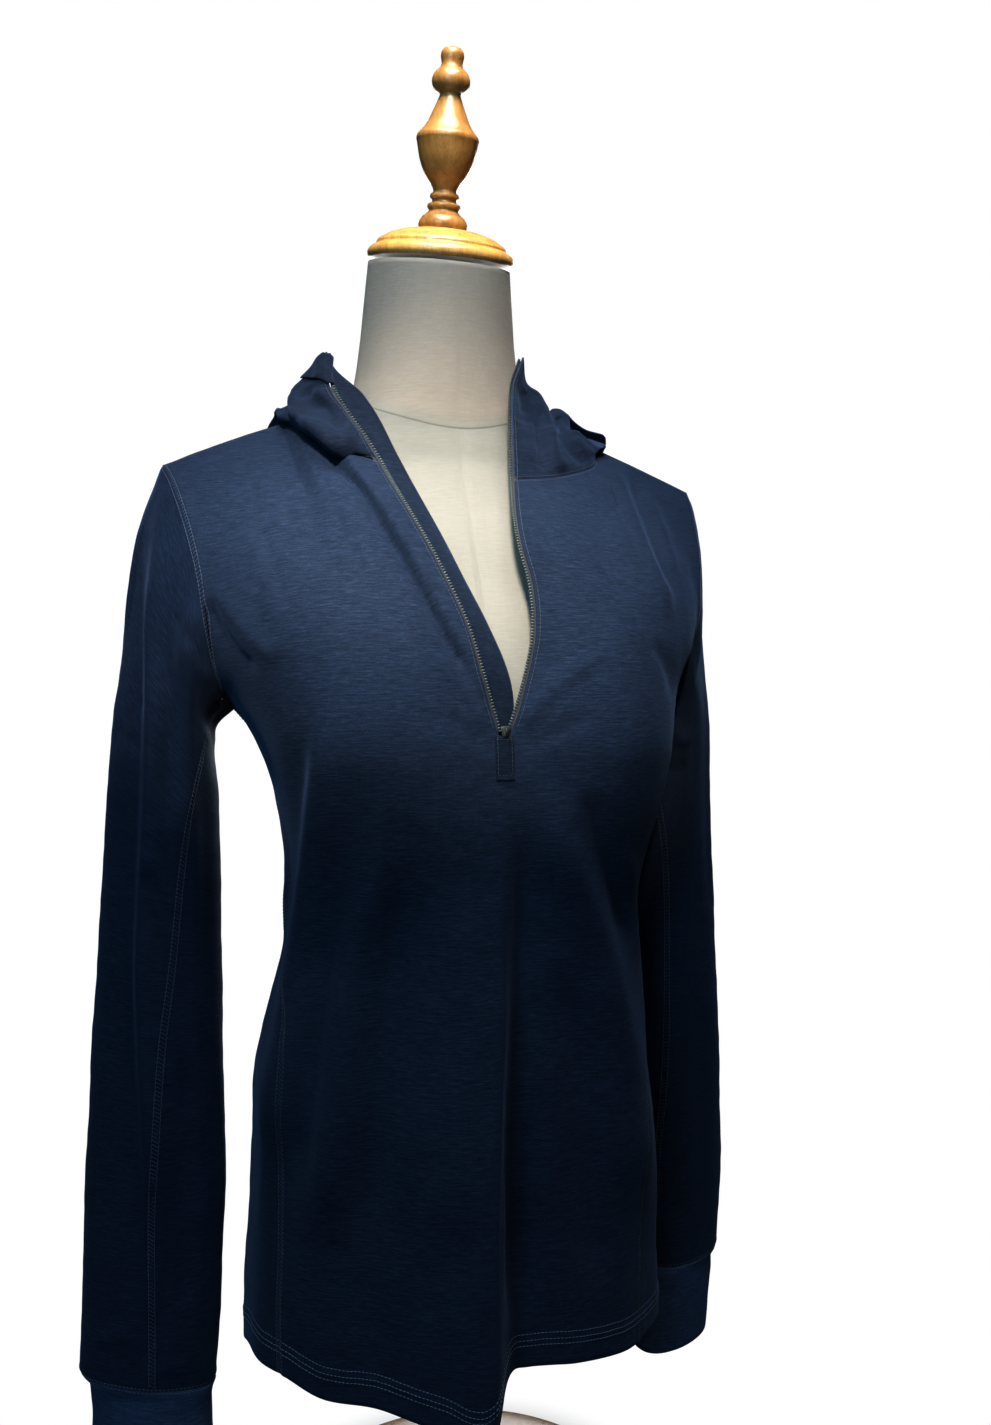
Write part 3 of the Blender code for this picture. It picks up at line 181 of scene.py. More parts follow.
HOOD_RIGHT = (
    # a     fold                pouch inside        bottom               outside              rim
    (0.00, -6.7, -4.5,  1.5,   -7.7, -4.0,  3.1,   -8.5, -3.4,  4.6,   -8.7, -2.8,  6.0,   -8.5, -2.1,  7.3),
    (0.025, -7.5, -4.9, 1.2,   -8.4, -4.2,  2.7,   -9.0, -3.1,  4.5,   -9.1, -2.4,  5.8,   -8.9, -1.7,  7.0),
    (0.05, -8.5, -4.8,  1.3,   -9.1, -3.9,  2.8,   -9.3, -2.7,  4.5,   -9.3, -1.9,  5.6,   -9.15, -1.3, 6.55),
    (0.10, -9.8, -3.5,  2.1,  -10.1, -2.6,  3.3,  -10.1, -1.6,  4.5,  -10.0, -0.9,  5.3,   -9.75, -0.4, 5.95),
    (0.15, -10.5, -2.1, 2.8,  -10.7, -1.3,  3.7,  -10.7, -0.6,  4.4,  -10.5,  0.0,  5.0,  -10.3,  0.4,  5.3),
    (0.18, -10.7, -1.2, 3.1,  -10.6, -0.5,  3.9,  -10.5,  0.1,  4.3,  -10.3,  0.5,  4.6,  -10.1,  0.9,  4.75),
    (0.22, -11.1, 0.0,  3.4,  -11.15, 0.7,  4.0,  -11.1,  1.3,  4.2,  -10.9,  1.8,  4.3,  -10.7,  2.2,  4.35),
    (0.26, -11.0, 1.6,  3.9,  -11.0,  2.1,  4.3,  -10.9,  2.6,  4.5,  -10.8,  3.0,  4.6,  -10.7,  3.4,  4.65),
    (0.31, -9.7,  4.5,  4.4,  -10.0,  4.9,  4.7,  -10.3,  5.3,  4.8,  -10.5,  5.7,  4.9,  -10.6,  6.1,  5.0),
    (0.37, -7.9,  6.8,  5.3,   -8.3,  8.3,  3.7,   -8.8,  9.9,  0.9,  -10.0, 10.9,  2.7,  -10.5,  9.6,  4.3),
    (0.43, -5.3,  9.4,  5.9,   -5.7, 11.5,  0.9,   -6.0, 13.6, -5.2,   -7.0, 15.0, -0.4,   -6.8, 13.2,  4.4),
    (0.50,  0.0, 10.4,  6.0,    0.0, 12.2, -0.6,    0.0, 14.8, -10.6,   0.0, 17.0, -3.5,    0.0, 15.0,  3.6),
)
HOOD_LEFT = (
    (0.50,  0.0, 10.4,  6.0,    0.0, 12.2, -0.6,    0.0, 14.8, -10.6,   0.0, 17.0, -3.5,    0.0, 15.0,  3.6),
    (0.57,  5.6,  9.4,  6.0,    5.8, 11.6,  0.9,    6.0, 13.7, -5.4,    7.0, 15.2, -0.4,    6.8, 13.5,  4.4),
    (0.63,  8.6,  6.6,  5.4,    9.5,  8.2,  3.7,   10.4, 10.0,  0.9,   11.8, 10.9,  2.7,   12.2,  9.6,  4.6),
    (0.69, 10.4,  4.3,  4.7,   11.0,  4.8,  4.8,   11.7,  5.4,  4.5,   12.5,  6.1,  4.4,   12.9,  6.4,  4.8),
    (0.735, 11.3, 2.0,  3.8,   12.0,  2.1,  3.7,   12.5,  2.8,  3.2,   13.1,  3.2,  3.5,   13.2,  3.0,  3.9),
    (0.77, 11.5, 0.2,  2.9,    12.0,  0.4,  3.05,  12.3,  1.6,  2.8,   12.95, 2.2,  3.5,   12.8,  1.8,  4.15),
    (0.81, 10.6, -1.1, 2.2,    10.9, -0.6,  2.85,  10.9,  1.2,  2.6,   11.3,  2.4,  3.7,   11.0,  1.6,  4.5),
    (0.835, 9.7, -1.6, 2.5,    9.9, -1.0,  3.25,   9.9,  0.6,  3.0,    10.0,  1.7,  4.3,    9.8,  1.1,  5.0),
    (0.855, 9.0, -1.9, 2.6,    9.1, -1.4,  3.6,    9.1, -0.3,  3.9,    9.5,  0.9,  5.1,    9.3,  1.5,  5.75),
    (0.875, 8.2, -2.4,  2.3,    8.3, -1.7,  3.3,    8.4, -0.6,  4.1,    8.5,  0.5,  5.1,    8.4,  1.2,  5.7),
    (0.892, 7.6, -3.1,  1.8,    7.7, -2.3,  2.9,    7.7, -1.2,  3.8,    7.7, -0.3,  4.6,    7.7,  0.5,  5.15),
    (0.910, 7.0, -3.5,  1.4,    7.2, -2.5,  2.7,    7.3, -1.6,  3.9,    7.4, -0.8,  4.9,    7.4,  0.0,  5.6),
    (0.932, 6.0, -4.1,  1.1,    6.2, -3.2,  2.6,    6.4, -2.3,  4.0,    6.5, -1.5,  5.2,    6.6, -0.8,  6.15),
    (0.955, 4.9, -4.4,  1.0,    5.1, -3.3,  2.6,    5.3, -2.4,  4.1,    5.5, -1.8,  5.3,    5.7, -1.3,  6.4),
    (0.977, 3.9, -5.0,  0.9,    4.1, -4.2,  2.6,    4.3, -3.4,  4.2,    4.6, -2.8,  5.5,    5.0, -2.3,  6.6),
    (1.00,  2.95, -5.3, 0.9,    3.15, -4.8, 2.6,    3.4, -4.2,  4.4,    3.8, -3.6,  6.1,    4.65, -3.0, 7.8),
)
HOOD_KEYS = (0.0, 0.18, 0.38, 0.54, 0.64, 0.82, 1.0)
FACING_LINE = (
    (-17.3,  0.85, -10.0, -17.3), (-14.6,  0.95,  -9.9, -14.6), (-10.4, -0.30,  -9.1, -10.4),
    (-6.9,  -1.75,  -8.0,  -6.9), (-3.5,  -3.0,  -6.4,  -3.5), (0.6,   -4.5,   -4.2,   0.6),
    (3.9,   -5.85, -3.0,   3.9), (6.02,  -7.25, -2.3,   6.02), (7.4,   -8.35,  -1.9,   7.4),
)
FORM = (
    # z      yc    half  front  back  round
    (-50.0,  0.0,  12.6,  8.9,  9.3, 2.3), (-46.0, -0.1,  12.5,  9.0,  9.0, 2.3), (-40.0, -0.5,  12.0,  9.0,  8.4, 2.3),
    (-34.0, -0.9,  11.1,  8.5,  7.4, 2.3), (-29.0, -1.1,  10.5,  8.2,  6.8, 2.3), (-24.0, -0.8,  10.9,  8.4,  7.4, 2.3),
    (-19.0, -0.4,  11.7,  9.0,  8.4, 2.3), (-14.5,  0.0,  12.4,  9.2,  8.9, 2.2), (-10.0,  0.4,  13.0,  8.3,  8.8, 2.1),
    (-6.0,   0.8,  13.6,  7.1,  8.4, 1.8), (-3.5,   0.8,  13.7,  6.1,  7.5, 1.6), (-1.8,   0.9,  13.0,  5.4,  7.0, 1.5),
    (-0.6,   1.0,  11.7,  5.0,  6.6, 1.5), (0.6,    1.2,  10.3,  4.7,  6.4, 1.55), (1.8,    1.5,   8.9,  4.8,  6.2, 1.7),
    (3.0,    1.8,   7.6,  4.9,  6.3, 1.9), (4.2,    1.9,   6.5,  5.1,  6.1, 2.0), (6.0,    1.9,   5.9,  5.3,  5.6, 2.0),
    (9.0,    1.6,   5.4,  5.2,  5.2, 2.0), (12.0,   1.2,   5.1,  5.0,  5.0, 2.0), (14.6,   0.85,  4.85,  4.85, 4.85, 2.0),
)
NECK_TILT = 15.0 * DEG
CAP_AT = (0.1, 0.8, 14.85)
CAP = (
    (0.0, 0.04), (4.6, 0.04), (4.85, 0.04), (4.99, 0.20), (5.00, 0.45), (4.84, 0.72), (4.55, 0.88), (4.45, 0.95),
    (4.42, 1.10), (4.00, 1.46), (3.20, 1.82), (2.30, 2.04), (1.75, 2.12), (0.0, 2.12),
)
FINIAL = (
    (0.0, 2.14), (1.60, 2.16), (1.66, 2.45), (1.42, 2.95), (1.06, 3.24), (1.00, 3.33), (1.10, 3.50), (1.10, 3.72),
    (0.84, 3.88), (0.82, 4.00), (0.97, 4.15), (0.95, 4.36), (0.78, 4.52), (0.90, 4.88), (1.36, 5.52),
    (1.78, 6.40), (1.98, 7.24), (2.04, 7.52), (2.09, 7.74), (2.04, 7.96), (1.82, 8.20), (1.50, 8.60),
    (1.12, 9.40), (0.80, 10.15), (0.70, 10.5), (0.92, 10.65), (1.20, 10.96), (1.26, 11.34), (1.12, 11.72),
    (0.84, 12.00), (0.74, 12.09), (0.74, 12.98), (0.55, 13.22), (0.0, 13.22),
)
POLE_R, POLE_TOP, POLE_FOOT = 1.25, -50.06, -71.6
BASE = (
    (0.0, -74.0), (6.0, -74.0), (13.5, -74.0), (13.75, -73.96), (13.93, -73.83), (14.0, -73.65), (14.0, -72.95),
    (13.93, -72.72), (13.75, -72.50), (13.3, -72.32), (12.0, -72.08), (9.0, -71.72), (5.0, -71.65), (0.0, -71.63),
)


def spline(rows, at):
    rows = np.asarray(rows, float)
    x, y = rows[:, 0], rows[:, 1:]
    h = np.diff(x)[:, None]
    d = np.diff(y, axis=0) / h
    m = np.vstack([d[:1], (h[:-1] * d[1:] + h[1:] * d[:-1]) / (h[:-1] + h[1:]), d[-1:]])
    at = np.clip(np.atleast_1d(np.asarray(at, float)), x[0], x[-1])
    k = np.clip(np.searchsorted(x, at, side="right") - 1, 0, len(x) - 2)
    hk = h[k]
    s = ((at - x[k])[:, None]) / hk
    return ((1 + 2 * s) * (1 - s) ** 2 * y[k] + s * (1 - s) ** 2 * hk * m[k]
            + s * s * (3 - 2 * s) * y[k + 1] + s * s * (s - 1) * hk * m[k + 1])


def ease(x):
    x = np.clip(x, 0.0, 1.0)
    return x * x * (3 - 2 * x)


def unit(v):
    return v / np.maximum(np.linalg.norm(v, axis=-1, keepdims=True), 1e-9)


def body_point(th, z):
    th, z = np.broadcast_arrays(np.asarray(th, float), np.asarray(z, float))
    shape = th.shape
    th, z = th.ravel(), z.ravel()
    xc, yc, half, front, back = spline(BODY, z).T
    s, c = np.sin(th * DEG), np.cos(th * DEG)
    depth = np.where(c > 0, front, back)
    r = ((np.abs(s) / half) ** ROUNDNESS + (np.abs(c) / depth) ** ROUNDNESS) ** (-1 / ROUNDNESS)
    for top, hem, z0, z1, out, wide_r, wide_l in FOLDS:
        f = np.clip((z - z0) / (z1 - z0), 0, 1)
        d = (th - (top + (hem - top) * f) + 180) % 360 - 180
        w = np.where(d < 0, wide_r, wide_l)
        r = r + out * ease(f * 1.15) * np.exp((2.4 / w) ** 1.6 - ((d / w) ** 2 + (2.4 / w) ** 2) ** 0.8)
    x, y = xc * np.abs(s) + r * s, yc - r * c
    b = BUST
    tall = np.where(z > b["z"], b["above"], b["below"])
    for side in (-1, 1):
        broad = np.where(side * x > b["x"], b["outward"], b["wide"])
        lift = b["out"] * np.exp(-((x - side * b["x"]) / broad) ** 2 - ((z - b["z"]) / tall) ** 2)
        lift = np.where(c > 0, lift * ease(c * 2.5), 0)
        y = y - lift * 0.94
        x = x + side * lift * 0.34
    return np.stack([x, y, z], -1).reshape(shape + (3,))


def low_body(th, v):
    hem = spline(HEM, np.ravel(th))[:, 0].reshape(np.shape(th))
    return body_point(th, hem + v * (UNDERARM - hem))


def seam_angles(v):
    rows = spline(SEAM_ANGLE, -56.5 + v * (UNDERARM + 56.5)).T
    return {-1: (rows[0], rows[1]), 1: (rows[2], rows[3])}


def mirror(p, side):
    p = np.array(p, float)
    p[..., 0] *= side
    return p


def columns(bottom, grow, top, arrive, left, right, u, t):
    length = np.linalg.norm(top - bottom, axis=-1, keepdims=True)
    tt = t[..., None, None]
    p = ((1 + 2 * tt) * (1 - tt) ** 2 * bottom + tt * (1 - tt) ** 2 * length * grow
         + tt * tt * (3 - 2 * tt) * top + tt * tt * (tt - 1) * length * arrive)
    w = u[None, :, None]
    return p + (1 - w) ** 1.5 * (left - p[:, 0])[:, None, :] + w ** 1.5 * (right - p[:, -1])[:, None, :]


def high_front(side, u, t):
    neck = NECK_RIGHT if side < 0 else NECK_LEFT
    zip_edge = ZIP_RIGHT if side < 0 else ZIP_LEFT
    split = SHOULDER_COLS / (SHOULDER_COLS + NECK_COLS)
    th0 = side * seam_angles(np.array([1.0]))[side][0][0]
    z0 = spline(zip_edge, 0.0)[0]
    th1 = math.atan2(z0[0], -z0[1]) / DEG
    th = th0 + (th1 - th0) * u
    bottom = body_point(th, UNDERARM)
    grow = unit(bottom - body_point(th, UNDERARM - 1.0))
    top = np.empty((len(u), 3))
    on = u <= split + 1e-9
    top[on] = mirror(spline(SHOULDER, u[on] / split), side)
    top[~on] = mirror(spline(neck, (u[~on] - split) / (1 - split)), side)
    k = ease(u)[:, None]
    arrive = unit((1 - k) * np.array([0.12 * side, 0.84, 0.48]) + k * np.array([-0.35 * side, 0.62, 0.70]))
    return columns(bottom, grow, top, arrive, mirror(spline(ARMHOLE_FRONT, t), side), spline(zip_edge, t), u, t)


def high_back(u, t):
    a = SHOULDER_COLS / (2 * SHOULDER_COLS + BACK_NECK_COLS)
    thb = seam_angles(np.array([1.0]))[1][1][0]
    th = -thb - (360 - 2 * thb) * u
    bottom = body_point((th + 180) % 360 - 180, UNDERARM)
    below = body_point((th + 180) % 360 - 180, UNDERARM - 1.0)
    grow = unit((bottom - below) * np.array([1.0, 0.5, 1.0])) * 0.85
    top = np.empty((len(u), 3))
    r, l = u <= a + 1e-9, u >= 1 - a - 1e-9
    m = ~(r | l)
    top[r] = mirror(spline(SHOULDER, u[r] / a), -1)
    top[l] = spline(SHOULDER, (1 - u[l]) / a)
    top[m] = spline(NECK_BACK, (u[m] - a) / (1 - 2 * a))
    k = np.sin(np.pi * u)[:, None]
    arrive = unit(np.array([0.0, -0.80, 0.55]) * (1 - k) + np.array([0.0, -0.08, 0.99]) * k) * 0.85
    return columns(bottom, grow, top, arrive, mirror(spline(ARMHOLE_BACK, t), -1), spline(ARMHOLE_BACK, t), u, t)


def ring(table, psi, s):
    row = spline(table, s)
    o, i = row[:, 0:3], row[:, 3:6]
    front, back = row[:, 6], row[:, 7]
    mid = (o + i) / 2
    axis = unit((o - i) * np.array([1.0, 1.0, 0.0]))
    fwd = np.stack([axis[:, 1], -axis[:, 0], np.zeros(len(axis))], -1)
    fwd = np.where(fwd[:, 1:2] > 0, -fwd, fwd)
    turn = ease(np.atleast_1d(s) / 0.3)[:, None]
    fwd = unit((1 - turn) * np.array([0.0, -1.0, 0.0]) + turn * fwd)
    c = np.cos(psi)[None, :, None]
    sn = np.sin(psi)[None, :, None]
    stretch = np.sign(sn) * np.abs(sn) ** 0.9
    depth = np.where(sn > 0, front[:, None, None], back[:, None, None])
    return mid[:, None, :] + c * ((o - i) / 2)[:, None, :] + stretch * depth * fwd[:, None, :]


def sleeve(side, start, psi, s):
    table = SLEEVE_RIGHT if side < 0 else SLEEVE_LEFT
    keep = (1 - ease(s / 0.30))[:, None, None]
    return ring(table, psi, s) + keep * (start - ring(table, psi, np.array([0.0]))[0])[None]


NECK_SPLIT = NECK_COLS / (2 * NECK_COLS + BACK_NECK_COLS)


def hood_seam(q):
    f = NECK_SPLIT
    if q <= f:
        return mirror(spline(NECK_RIGHT, 1 - q / f)[0], -1)
    if q >= 1 - f:
        return spline(NECK_LEFT, 1 - (1 - q) / f)[0]
    return spline(NECK_BACK, (q - f) / (1 - 2 * f))[0]


def hood(a, s):
    stations = np.empty((len(a), 5, 3))
    right = a <= 0.5
    stations[right] = spline(HOOD_RIGHT, a[right]).reshape(-1, 5, 3)
    stations[~right] = spline(HOOD_LEFT, a[~right]).reshape(-1, 5, 3)
    out = np.empty((len(a), len(s), 3))
    for n, q in enumerate(a):
        fold, inside, bottom, outside, rim = stations[n]
        level = ease((abs(q - 0.5) - 0.12) / 0.2)
        turn = 0.16 * (outside - inside) * np.array([1.0, 1.0, level])
        path = np.vstack([hood_seam(q), fold, inside, bottom - turn, bottom + turn, outside, rim])
        out[n] = spline(np.column_stack([HOOD_KEYS, path]), s)
    return out


# ------------------------------------------------------------------ camera
EYE = np.array([-22.859, -73.377, -14.706])
PAN, PITCH, ROLL, FOCAL = 0.343, 0.015, 0.014, 1127.0
CENTRE = (495.5, 712.5)


def camera_axes():
    cp, sp = math.cos(PITCH), math.sin(PITCH)
    f = np.array([math.sin(PAN) * cp, math.cos(PAN) * cp, -sp])
    right = np.array([math.cos(PAN), -math.sin(PAN), 0.0])
    down = np.cross(f, right)
    c, s = math.cos(ROLL), math.sin(ROLL)
    return np.array([c * right + s * down, -s * right + c * down, f])


AXES = camera_axes()


def picture(p):
    """Points (cm) in the picture's plane, in pixels of a 991 x 1425 frame."""
    q = (np.asarray(p, float) - EYE) @ AXES.T
    return np.stack([CENTRE[0] + FOCAL * q[..., 0] / q[..., 2], CENTRE[1] + FOCAL * q[..., 1] / q[..., 2]], -1)


# ------------------------------------------------------------------ folds
def smooth_line(points, n=5):
    points = np.asarray(points, float)
    if len(points) < 3:
        return points
    run = np.concatenate([[0], np.cumsum(np.linalg.norm(np.diff(points, axis=0), axis=1))])
    return spline(np.column_stack([run, points]), np.linspace(0, run[-1], n * (len(points) - 1) + 1))


def along(line, q):
    """Distance of q to the line, the side it is on, and the place along the line (0..1)."""
    best = np.full(len(q), 1e9)
    side = np.zeros(len(q))
    place = np.zeros(len(q))
    seg = np.diff(line, axis=0)
    size = np.linalg.norm(seg, axis=1)
    run = np.concatenate([[0], np.cumsum(size)])
    for k in range(len(seg)):
        r = q - line[k]
        f = np.clip(r @ seg[k] / size[k] ** 2, 0, 1)
        off = r - f[:, None] * seg[k]
        d = np.linalg.norm(off, axis=1)
        near = d < best
        best[near] = d[near]
        side[near] = np.sign(seg[k][0] * off[near, 1] - seg[k][1] * off[near, 0])
        place[near] = (run[k] + f[near] * size[k]) / run[-1]
    return best, side, place


FOLD_HEIGHT = 1.4


def folded(points, folds, flat, facing=None, ends=0.22):
    """Height of the folds at the points.  Each fold: line, height, width on its left and right, in the
    units of `flat`, which maps the points to a plane."""
    q = flat(points)
    out = np.zeros(len(points))
    for line, high, wide_a, wide_b in folds:
        high *= FOLD_HEIGHT
        line = smooth_line(line)
        lo, hi = line.min(0) - 4 * max(wide_a, wide_b), line.max(0) + 4 * max(wide_a, wide_b)
        near = np.all((q > lo) & (q < hi), axis=1)
        if not near.any():
            continue
        d, side, place = along(line, q[near])
        wide = np.where(side < 0, wide_a, wide_b)
        fade = ease(np.minimum(place, 1 - place) / ends + 0.12)
        out[near] += high * np.exp(-(d / wide) ** 1.8) * fade
    if facing is not None:
        out *= ease(facing * 3.0)
    return out


# Folds that the camera sees, in the picture's plane: line, height in cm, width to each side in pixels.
# Running down, the first width is on the right-hand side of the line, the second on the left-hand side.
FRONT_FOLDS = (
    # hanging from the right bust to the side seam
    (((328, 690), (322, 745), (318, 795), (310, 868), (297, 968), (286, 1030), (274, 1090), (268, 1150)), 0.44, 20, 13),
    (((299, 735), (293, 800), (285, 870), (276, 930)), -0.40, 12, 11),
    (((350, 770), (343, 830), (334, 900), (322, 980), (311, 1060), (302, 1140), (296, 1230)), -0.44, 16, 14),
    (((386, 830), (368, 900), (352, 970), (340, 1060), (330, 1150), (324, 1250)), 0.42, 22, 20),
    (((410, 860), (396, 950), (384, 1050), (372, 1160), (364, 1270)), -0.34, 22, 20),
    # the shade beside the long centre fold
    (((522, 800), (526, 900), (524, 1020), (518, 1200), (516, 1330)), -0.62, 22, 12),
    # from the left bust down and across to the side
    (((548, 790), (568, 854), (592, 923), (614, 1000), (627, 1061), (635, 1140), (640, 1220)), 0.55, 17, 26),
    (((590, 790), (606, 850), (621, 905), (630, 950)), -0.40, 9, 12),
    (((626, 845), (633, 900), (640, 965)), 0.20, 8, 8),
    (((560, 960), (578, 1060), (590, 1170), (596, 1300)), -0.36, 20, 30),
    (((470, 880), (466, 1000), (460, 1120), (456, 1260)), 0.20, 26, 34),
    # fans from the foot of the zip
    (((489, 733), (474, 706), (452, 676), (432, 652)), 0.16, 6, 11),
    (((487, 748), (462, 728), (430, 712)), -0.10, 7, 9),
    (((518, 731), (544, 700), (574, 674), (604, 652)), 0.18, 11, 7),
    (((520, 752), (556, 733), (600, 716)), -0.12, 11, 8),
    (((486, 770), (468, 784), (446, 806)), 0.05, 7, 7),
    (((517, 768), (536, 786), (552, 812)), 0.06, 7, 7),
    # chest and armhole creases
    (((252, 512), (266, 545), (279, 580), (288, 615)), -0.13, 5, 6),
    (((244, 520), (258, 555), (270, 588), (280, 622)), 0.08, 8, 9),
    (((330, 488), (338, 520), (342, 548)), -0.06, 5, 6),
    (((374, 578), (380, 606), (384, 630)), -0.05, 5, 5),
    (((206, 600), (219, 632), (236, 657), (256, 676)), -0.30, 8, 7),
    (((214, 585), (232, 616), (254, 640), (282, 662)), 0.20, 10, 10),
    (((611, 458), (622, 495), (636, 531), (650, 566), (664, 596), (672, 622)), 0.34, 7, 18),
    (((630, 470), (640, 500), (653, 533), (666, 566), (676, 592)), -0.24, 6, 7),
    (((642, 486), (656, 520), (668, 552), (676, 580)), 0.20, 6, 7),
    (((590, 486), (600, 520), (612, 560), (624, 600)), -0.08, 10, 10),
    (((655, 640), (668, 668), (676, 700)), -0.16, 6, 6),
    (((296, 430), (318, 470), (340, 502), (364, 542), (392, 590)), 0.12, 12, 14),
)
# The front's edge rolls beside the right-hand zip, and the collar's lower edge hangs over the neck seam.
ROLL_FOLDS = (
    (((338, 440), (350, 460), (363, 479), (379, 500), (395, 523), (415, 557), (437, 595), (457, 633), (475, 668),
      (486, 700)), 0.32, 13, 6),
    (((322, 440), (338, 466), (358, 486), (379, 521), (400, 557), (424, 600), (444, 636), (462, 668)), -0.42, 4, 4),
)
ROLL_WAY = (-0.34, -0.86, 0.38)
COLLAR_FOLDS = (
    (((290, 406), (304, 414), (319, 430), (334, 446), (350, 458), (366, 466)), 0.34, 12, 9),
)
COLLAR_WAY = (-0.30, -0.62, -0.72)
HOOD_LEFT_FOLDS = (
    (((531, 398), (533, 430), (535, 462)), 0.10, 5, 5),
    (((541, 404), (540, 428), (543, 450), (548, 472)), -0.34, 4, 4),
    (((551, 424), (551, 442), (556, 458), (566, 472)), 0.26, 6, 6),
    (((562, 432), (567, 446), (578, 458), (588, 464)), -0.14, 4, 4),
    (((572, 436), (582, 448), (596, 455)), 0.14, 5, 5),
    (((524, 388), (524, 400), (526, 416)), -0.16, 3, 4),
    (((557, 416), (561, 420)), -0.22, 3, 3),
)
HOOD_RIGHT_FOLDS = (
    (((296, 414), (310, 420), (325, 428), (338, 444), (352, 460), (368, 474)), 0.36, 6, 12),
    (((303, 402), (318, 404), (332, 414), (344, 432)), -0.20, 6, 6),
    (((312, 388), (326, 398), (338, 414), (352, 440)), 0.18, 6, 6),
    (((296, 396), (304, 392), (312, 394)), -0.14, 5, 5),
    (((288, 412), (296, 410), (303, 412)), 0.16, 5, 5),
    (((322, 400), (336, 416), (348, 436), (360, 456)), -0.08, 3, 3),
)
SIDE_RIGHT_FOLDS = (
    (((262, 760), (274, 800), (280, 850), (281, 900)), -0.15, 7, 7),
    (((268, 1010), (262, 1080), (260, 1150), (259, 1230)), 0.14, 8, 8),
)
SLEEVE_RIGHT_FOLDS = (
    (((163, 480), (159, 540), (156, 600), (153, 670), (151, 740), (148, 830), (144, 900), (142, 960), (143, 1040),
      (147, 1110), (150, 1190), (151, 1280)), 0.50, 22, 7),
    (((142, 500), (139, 560), (137, 660), (134, 760), (130, 860), (127, 960), (129, 1060), (133, 1180)), -0.26, 8, 18),
    (((192, 590), (189, 650), (187, 710), (186, 780), (178, 850)), 0.20, 9, 10),
    (((174, 560), (170, 650), (168, 740), (164, 830)), -0.20, 10, 9),
    (((144, 846), (151, 872), (163, 893), (179, 912)), 0.07, 7, 6),
    (((146, 866), (156, 888), (170, 906)), -0.07, 7, 6),
    (((176, 610), (186, 634), (200, 655), (212, 668)), -0.16, 7, 7),
    (((188, 640), (198, 664), (210, 684)), 0.14, 6, 6),
    (((205, 770), (208, 850), (209, 940), (211, 1030)), -0.16, 9, 9),
    (((110, 960), (108, 1060), (106, 1160), (105, 1260)), -0.14, 14, 14),
    (((185, 1050), (184, 1140), (184, 1240), (183, 1330)), -0.16, 13, 13),
    (((96, 700), (110, 722), (128, 742), (144, 756)), -0.05, 5, 5),
    (((100, 756), (118, 730), (134, 706), (147, 690)), -0.05, 5, 5),
    (((88, 1345), (110, 1338), (135, 1342)), 0.06, 9, 9),
    (((158, 1362), (180, 1368), (204, 1362)), 0.07, 9, 9),
)
SLEEVE_LEFT_FOLDS = (
    (((695, 640), (693, 710), (690, 780), (687, 850), (682, 915), (675, 1000), (668, 1060), (660, 1120), (655, 1165)), 0.24, 10, 6),
    (((703, 620), (706, 720), (708, 820), (710, 920)), -0.10, 6, 6),
    (((678, 790), (677, 860), (673, 940), (668, 1010)), -0.16, 6, 7),
    (((700, 1000), (702, 1090), (700, 1180)), -0.14, 10, 10),
    (((660, 726), (672, 729), (682, 737), (684, 748)), 0.26, 7, 9),
    (((664, 768), (674, 770), (686, 764)), -0.22, 7, 7),
    (((690, 560), (694, 620), (697, 690)), -0.08, 5, 5),
)
# Folds of the sides that the camera doesn't see, over x and z in cm.
BACK_FOLDS = (
    (((-8.5, -16.0), (-8.0, -26.0), (-7.0, -38.0), (-6.6, -52.0)), 0.28, 1.3, 1.6),
    (((-4.2, -20.0), (-3.8, -32.0), (-3.0, -46.0)), -0.24, 1.5, 1.5),
    (((0.4, -17.0), (0.9, -28.0), (1.2, -42.0), (1.0, -55.0)), 0.26, 1.6, 1.2),
    (((4.6, -19.0), (5.0, -31.0), (5.2, -45.0)), -0.24, 1.4, 1.6),
    (((8.6, -16.0), (8.9, -27.0), (8.4, -40.0), (8.2, -54.0)), 0.30, 1.5, 1.4),
    (((-13.4, -11.0), (-11.0, -13.5), (-8.0, -15.0)), 0.24, 0.9, 1.2),
    (((-13.2, -14.2), (-10.4, -16.4), (-7.4, -17.4)), -0.16, 0.8, 0.9),
    (((13.5, -10.5), (11.2, -13.2), (8.2, -14.8)), 0.24, 0.9, 1.2),
    (((13.4, -13.6), (10.8, -16.0), (7.8, -17.0)), -0.16, 0.8, 0.9),
    (((-9.0, -27.6), (-3.0, -28.8), (3.0, -28.4), (9.0, -27.2)), -0.14, 0.9, 0.8),
    (((-8.0, -30.8), (-2.0, -31.8), (5.0, -31.2)), -0.10, 0.7, 0.8),
    (((-9.5, -25.4), (-5.0, -26.2), (0.5, -26.0)), 0.08, 0.8, 0.7),
    (((-12.5, -2.0), (-9.0, -3.2), (-5.0, -3.6)), -0.10, 0.9, 0.9),
    (((12.2, -2.2), (9.0, -3.4), (5.0, -3.7)), -0.10, 0.9, 0.9),
)
